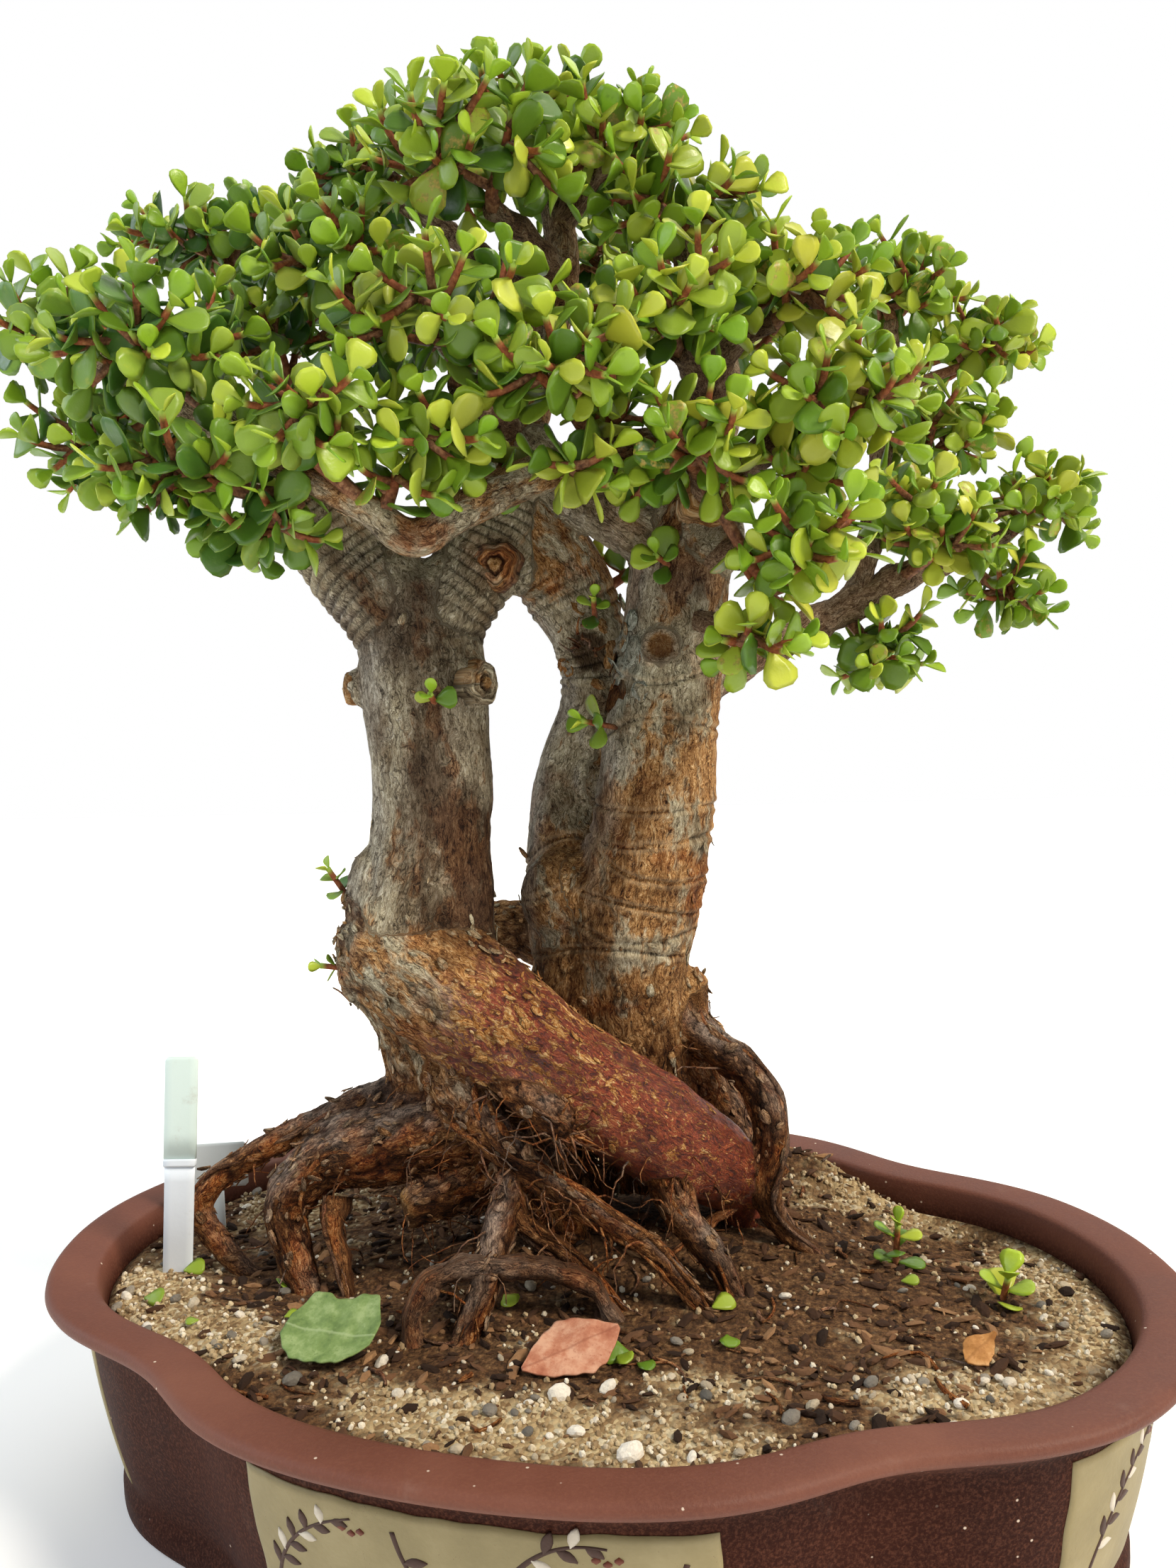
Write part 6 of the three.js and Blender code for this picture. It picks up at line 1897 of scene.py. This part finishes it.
def labels():
    """The upright stake with its collar and coloured top, and the T-shaped card."""
    half = STAKE_WIDTH / 2
    batch = Batch()
    body = [(0, 1.8), (4, 4.6), (10, half - 1.0), (16, half - 0.7), (60, half - 0.6), (66, half - 0.5)]
    collar = [(66.2, half - 0.3), (67, half), (68.6, half), (69.4, half - 0.3)]
    top = [(69.5, half), (80, half), (100, half), (110.6, half), (112, half - 1)]
    for rows, thickness, slot in ((body, STAKE_THICKNESS, 0), (collar, 2.2, 0), (top, STAKE_THICKNESS, 1)):
        upright(batch, STAKE_AT, STAKE_TURN, rows, thickness, slot, STAKE_LEAN)
    dress(batch.build("stake", [LABEL_WHITE, LABEL_MINT]), "label_plastic", "label_stake")
    batch = Batch()
    stem, head, neck = CARD_STEM / 2, CARD_WIDTH / 2, CARD_LENGTH - CARD_HEAD
    rows = [(0, 0.6), (8, stem), (30, stem), (neck - 0.1, stem)]
    upright(batch, CARD_AT, CARD_TURN, rows, CARD_THICKNESS, 0)
    rows = [(neck, head - 1.2), (neck + 1.2, head), (neck + 10, head)]
    rows += [(CARD_LENGTH - 1.2, head), (CARD_LENGTH, head - 1.2)]
    upright(batch, CARD_AT, CARD_TURN, rows, CARD_THICKNESS, 0)
    dress(batch.build("card", [LABEL_PALE]), "label_plastic", "label_card")


FALLEN = {
    "fallen_leaf_green": {
        "at": (-71, -80), "turn": -0.06, "long": 18, "wide": 14, "tilt": 0.42, "curl": 0.01, "fold": 2,
        "upper": [0.3, 0.85, 0.98, 0.9, 0.86, 0.95, 1.08, 1.0, 0.35],
        "lower": [0.3, 0.7, 0.95, 1.0, 1.0, 0.95, 0.9, 0.7, 0.3],
    },
    "fallen_leaf_red": {
        "at": (15, -70), "turn": 0.62, "long": 18, "wide": 13.5, "tilt": 0.42, "curl": -0.012, "fold": 0,
        "upper": [0.04, 0.38, 0.68, 0.95, 1.12, 1.0, 0.74, 0.4, 0.06],
        "lower": [0.04, 0.3, 0.5, 0.64, 0.74, 0.8, 0.74, 0.5, 0.1],
    },
    "fallen_leaf_tan": {
        "at": (150, -38), "turn": 0.9, "long": 8, "wide": 6, "tilt": 0.5, "curl": -0.03, "fold": 0,
        "upper": [0.1, 0.5, 0.8, 1.0, 0.9, 0.6, 0.3, 0.1],
        "lower": [0.1, 0.6, 0.9, 0.8, 0.7, 0.5, 0.2, 0.1],
    },
}


def fallen_leaf(name, at, turn, long, wide, tilt, curl, fold, upper, lower, material):
    """A dry leaf that leans on the soil, raised towards the back."""
    u = np.linspace(0, 1, 44)[:, None]
    v = np.linspace(-1, 1, 27)[None, :]
    stops = np.linspace(0, 1, len(upper))
    above, below = (wide * np.interp(u, stops, widths) for widths in (upper, lower))
    half = np.maximum(np.where(v > 0, above, below) * (1 + 0.03 * np.sin(37 * u + 2 * np.sign(v))), 0.35)
    y = half * v
    side_ribs = hump((u * 7 - 1.5 * np.abs(v)) % 1, 0.5, 0.07) * (u > 0.06) * (np.abs(v) > 0.05)
    ribs = np.minimum(hump(y, 0, 0.5) + 0.5 * side_ribs, 1)
    wx, wy = (place + way for place, way in zip(at, turned(long * (2 * u - 1), y, turn)))
    wave = 1.1 * noise_at(wx / 9, wy / 9, 0, 2)
    front = wy.min()
    lift = tilt * (wy - front)
    wy = front + (wy - front) * math.cos(math.atan(tilt))
    bent = fold * ramp_up(u, 0.72, 1.0)
    z = soil_height(at[0], front + 6) + 1.6 + lift + curl * y**2 + wave + bent + 0.2 * ribs
    z = np.maximum(z, soil_height(wx, wy) + 1.2)
    top = np.stack([wx, wy, z + 0.5], -1)
    batch = Batch()
    slab(batch, top, top - (0, 0, 0.6), veins=np.tile(ribs.ravel(), 2))
    piece = batch.build(name.replace("fallen_leaf", "dropped_leaf"), [material])
    if material is DRY_TAN:
        dress(piece, "dry_red")
    else:
        dress(piece, name.replace("fallen_leaf", "dry"), name)


TWIGS_ON_SOIL = 110
# Shed leaves: x, y and length.
LITTER = [
    (37, -66, 7), (-100, -63, 6), (-132, -70, 5), (64, -42, 8), (-163, -35, 9), (-165, -58, 9),
    (-113, -39, 8), (56, -26, 10), (34, -61, 12), (29, -63, 8), (123, 12, 7), (-23, -33, 10),
]


def litter():
    """Small leaves that the tree has shed."""
    batch, leaves = Batch(), Leaves()
    for number, (x, y, length) in enumerate(LITTER):
        angle = 2 * math.pi * chance(number, 3, 8)
        along = np.array([math.cos(angle), math.sin(angle), 0.12])
        foot = (x, y, soil_height(x, y) + 1.6)
        tone, warm = 0.3 + 0.5 * chance(number, 2, 2), 0.4 + 0.3 * chance(number, 2, 4)
        draws = chance(number, 5, np.arange(4))
        leaves.add(foot, along, (0.1, -0.25, 1.0), length, tone, warm, 0.1, 0.0, draws)
    leaves.build(batch)
    return batch.build("leaf_litter", [LEAF])


def fallen_twigs(bones):
    """Thin dry twigs and root ends on the soil."""
    draws = np.random.default_rng(21)
    batch = Batch()
    places = spots(900, draws, bones, lambda x, y: 1 - 0.6 * sandiness(x, y))[:TWIGS_ON_SOIL]
    for number, (x, y) in enumerate(places):
        length = 5 + 16 * draws.random() ** 2
        angle = 2 * math.pi * draws.random()
        run = np.linspace(-0.5, 0.5, 6) * length
        bend = draws.normal() * 0.05
        line_x = x + run * math.cos(angle) - bend * run**2 * math.sin(angle)
        line_y = y + run * math.sin(angle) + bend * run**2 * math.cos(angle)
        radius = 0.35 + 0.7 * draws.random() ** 2
        path = np.stack([line_x, line_y, rough_ground(line_x, line_y) + radius + 0.3], 1)
        if (np.abs(path[:, 0]) > 150).any() or (np.abs(path[:, 1]) > 115).any():
            continue
        root_tube(batch, path, np.full(6, radius) * (1, 1, 0.95, 0.9, 0.85, 0.7), 2000 + number)
    return batch.build("fallen_twigs", [BARK])


def dress(piece, slot, *nodes):
    """Fixes a piece to the part and hides the CAD nodes that it stands for. Its finish, slot, is not used."""
    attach(piece, BODY)
    if nodes:
        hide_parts(*nodes)
    return piece


# The studio.
CAMERA_AT = (0.1353, -0.4469, 0.29905)
PITCH, ROLL, AZIMUTH = (math.radians(a) for a in (2.5, -2.22, -15.8))
LENS = 27.03


def camera():
    flat = math.cos(PITCH)
    forward = Vector((math.sin(AZIMUTH) * flat, math.cos(AZIMUTH) * flat, -math.sin(PITCH)))
    right = Vector((math.cos(AZIMUTH), -math.sin(AZIMUTH), 0))
    up = right.cross(forward)
    x_axis = right * math.cos(ROLL) + up * math.sin(ROLL)
    y_axis = up * math.cos(ROLL) - right * math.sin(ROLL)
    data = bpy.data.cameras.new("camera")
    data.lens, data.sensor_width, data.sensor_fit = LENS, 36, "AUTO"
    data.clip_start = 0.01
    made = bpy.data.objects.new("camera", data)
    turn = Matrix((x_axis, y_axis, -forward)).transposed()
    made.matrix_world = Matrix.Translation(CAMERA_AT) @ turn.to_4x4()
    bpy.context.scene.collection.objects.link(made)
    bpy.context.scene.camera = made


def sun(name, way, strength, spread, tint):
    """A distant soft light that shines from a direction."""
    data = bpy.data.lights.new(name, "SUN")
    data.energy, data.angle, data.color = strength, math.radians(spread), tint
    lamp = bpy.data.objects.new(name, data)
    lamp.matrix_world = Vector(way).to_track_quat("Z", "Y").to_matrix().to_4x4()
    bpy.context.scene.collection.objects.link(lamp)


def studio():
    world = bpy.data.worlds.new("studio")
    world.use_nodes = True
    tree = world.node_tree
    light = tree.nodes["Background"]
    light.inputs["Color"].default_value = colour("#eef3f8")
    light.inputs["Strength"].default_value = 0.42
    seen = tree.nodes.new("ShaderNodeBackground")
    seen.inputs["Color"].default_value = colour("#ffffff")
    seen.inputs["Strength"].default_value = 1.0
    rays, mixed = tree.nodes.new("ShaderNodeLightPath"), tree.nodes.new("ShaderNodeMixShader")
    tree.links.new(rays.outputs["Is Camera Ray"], mixed.inputs["Fac"])
    tree.links.new(light.outputs[0], mixed.inputs[1])
    tree.links.new(seen.outputs[0], mixed.inputs[2])
    tree.links.new(mixed.outputs[0], tree.nodes["World Output"].inputs["Surface"])
    bpy.context.scene.world = world
    bpy.context.scene.view_settings.view_transform = "Standard"
    sun("key", (1.0, -0.28, 0.95), 3.4, 18, (1, 0.91, 0.78))
    sun("fill", (-1.0, -0.25, 0.55), 1.5, 45, (0.84, 0.92, 1))
    sun("back", (0.2, 1.0, 1.3), 1.1, 60, (1, 0.97, 0.92))
    size = 4000
    x, y = np.meshgrid(np.linspace(-size, size, 9), np.linspace(-size, size, 9))
    top = np.stack([x, y, 0 * x], -1)
    batch = Batch()
    slab(batch, top, top - (0, 0, 10))
    floor = batch.build("floor", [FLOOR_FINISH], smooth=False)


BARK, LEAF, TWIG = bark_material(), leaf_material(), twig_material()
STONEWARE, PANEL, SOIL = stoneware_material(), panel_material(), soil_material()
INK = motif_material("motif_dark", "#3b2a22", "#59423a", 0.55)
CHALK = motif_material("motif_white", "#b9ac98", "#d9d1c2", 0.35)
RUST = motif_material("motif_rust", "#5e3126", "#7b4534", 0.4)
SAND = grain_material("sand", (0.0, "#8a7355"), (0.35, "#b59d78"), (0.7, "#d2bf9b"), (1.0, "#efe6d2"))
CHIPS = grain_material("chips", (0.0, "#241810"), (0.5, "#4a3222"), (0.85, "#745238"), (1.0, "#a07a55"))
PEBBLES = grain_material(
    "pebbles", (0.0, "#5b5750"), (0.3, "#8b8377"), (0.6, "#b7a78c"), (1.0, "#efe7d8"), roughness=0.7,
)
LABEL_WHITE = plastic_material("label_white", "#dbe5f0", "#e9eff5")
LABEL_MINT = plastic_material("label_mint", "#cfe3dc", "#dcebe6")
LABEL_PALE = plastic_material("label_pale", "#dfe8ea", "#eaf0f0")
DRY_GREEN = dry_leaf_material("dry_green", "#5f7642", "#788f54", "#97a972", "#a9b98a")
DRY_RED = dry_leaf_material("dry_red", "#9c5c44", "#b87c60", "#cf9f82", "#8a4f3a")
DRY_TAN = dry_leaf_material("dry_tan", "#94612f", "#b58049", "#d3a26c", "#8a5a2c")
FLOOR_FINISH = studio_material()

camera()
studio()
ALL_WOOD = Bones({**LIMBS, **ROOTS, **CUT_ENDS})
NO_WOOD = Bones({"far": [[0, 0, -900, 1], [0, 0, -910, 1]], "farther": [[0, 0, -950, 1], [0, 0, -960, 1]]})
WOOD = dress(bark(), "bark", "trunk")
dress(flakes(WOOD, ALL_WOOD), "bark", "trunk")
dress(bosses(WOOD), "bark", "trunk")
dress(slim_limbs(), "bark", "trunk")
dress(rootlets(ALL_WOOD), "bark", "trunk")
crown(ALL_WOOD)
dress(tray(), "stoneware", "pot")
dress(panels(), "stoneware", "pot")
dress(motifs(), "stoneware", "pot")
dress(soil(), "soil", "soil")
loose_soil(ALL_WOOD)
labels()
for (name, shape), dry in zip(FALLEN.items(), (DRY_GREEN, DRY_RED, DRY_TAN)):
    fallen_leaf(name, **shape, material=dry)
dress(litter(), "leaf")
dress(fallen_twigs(ALL_WOOD), "soil")
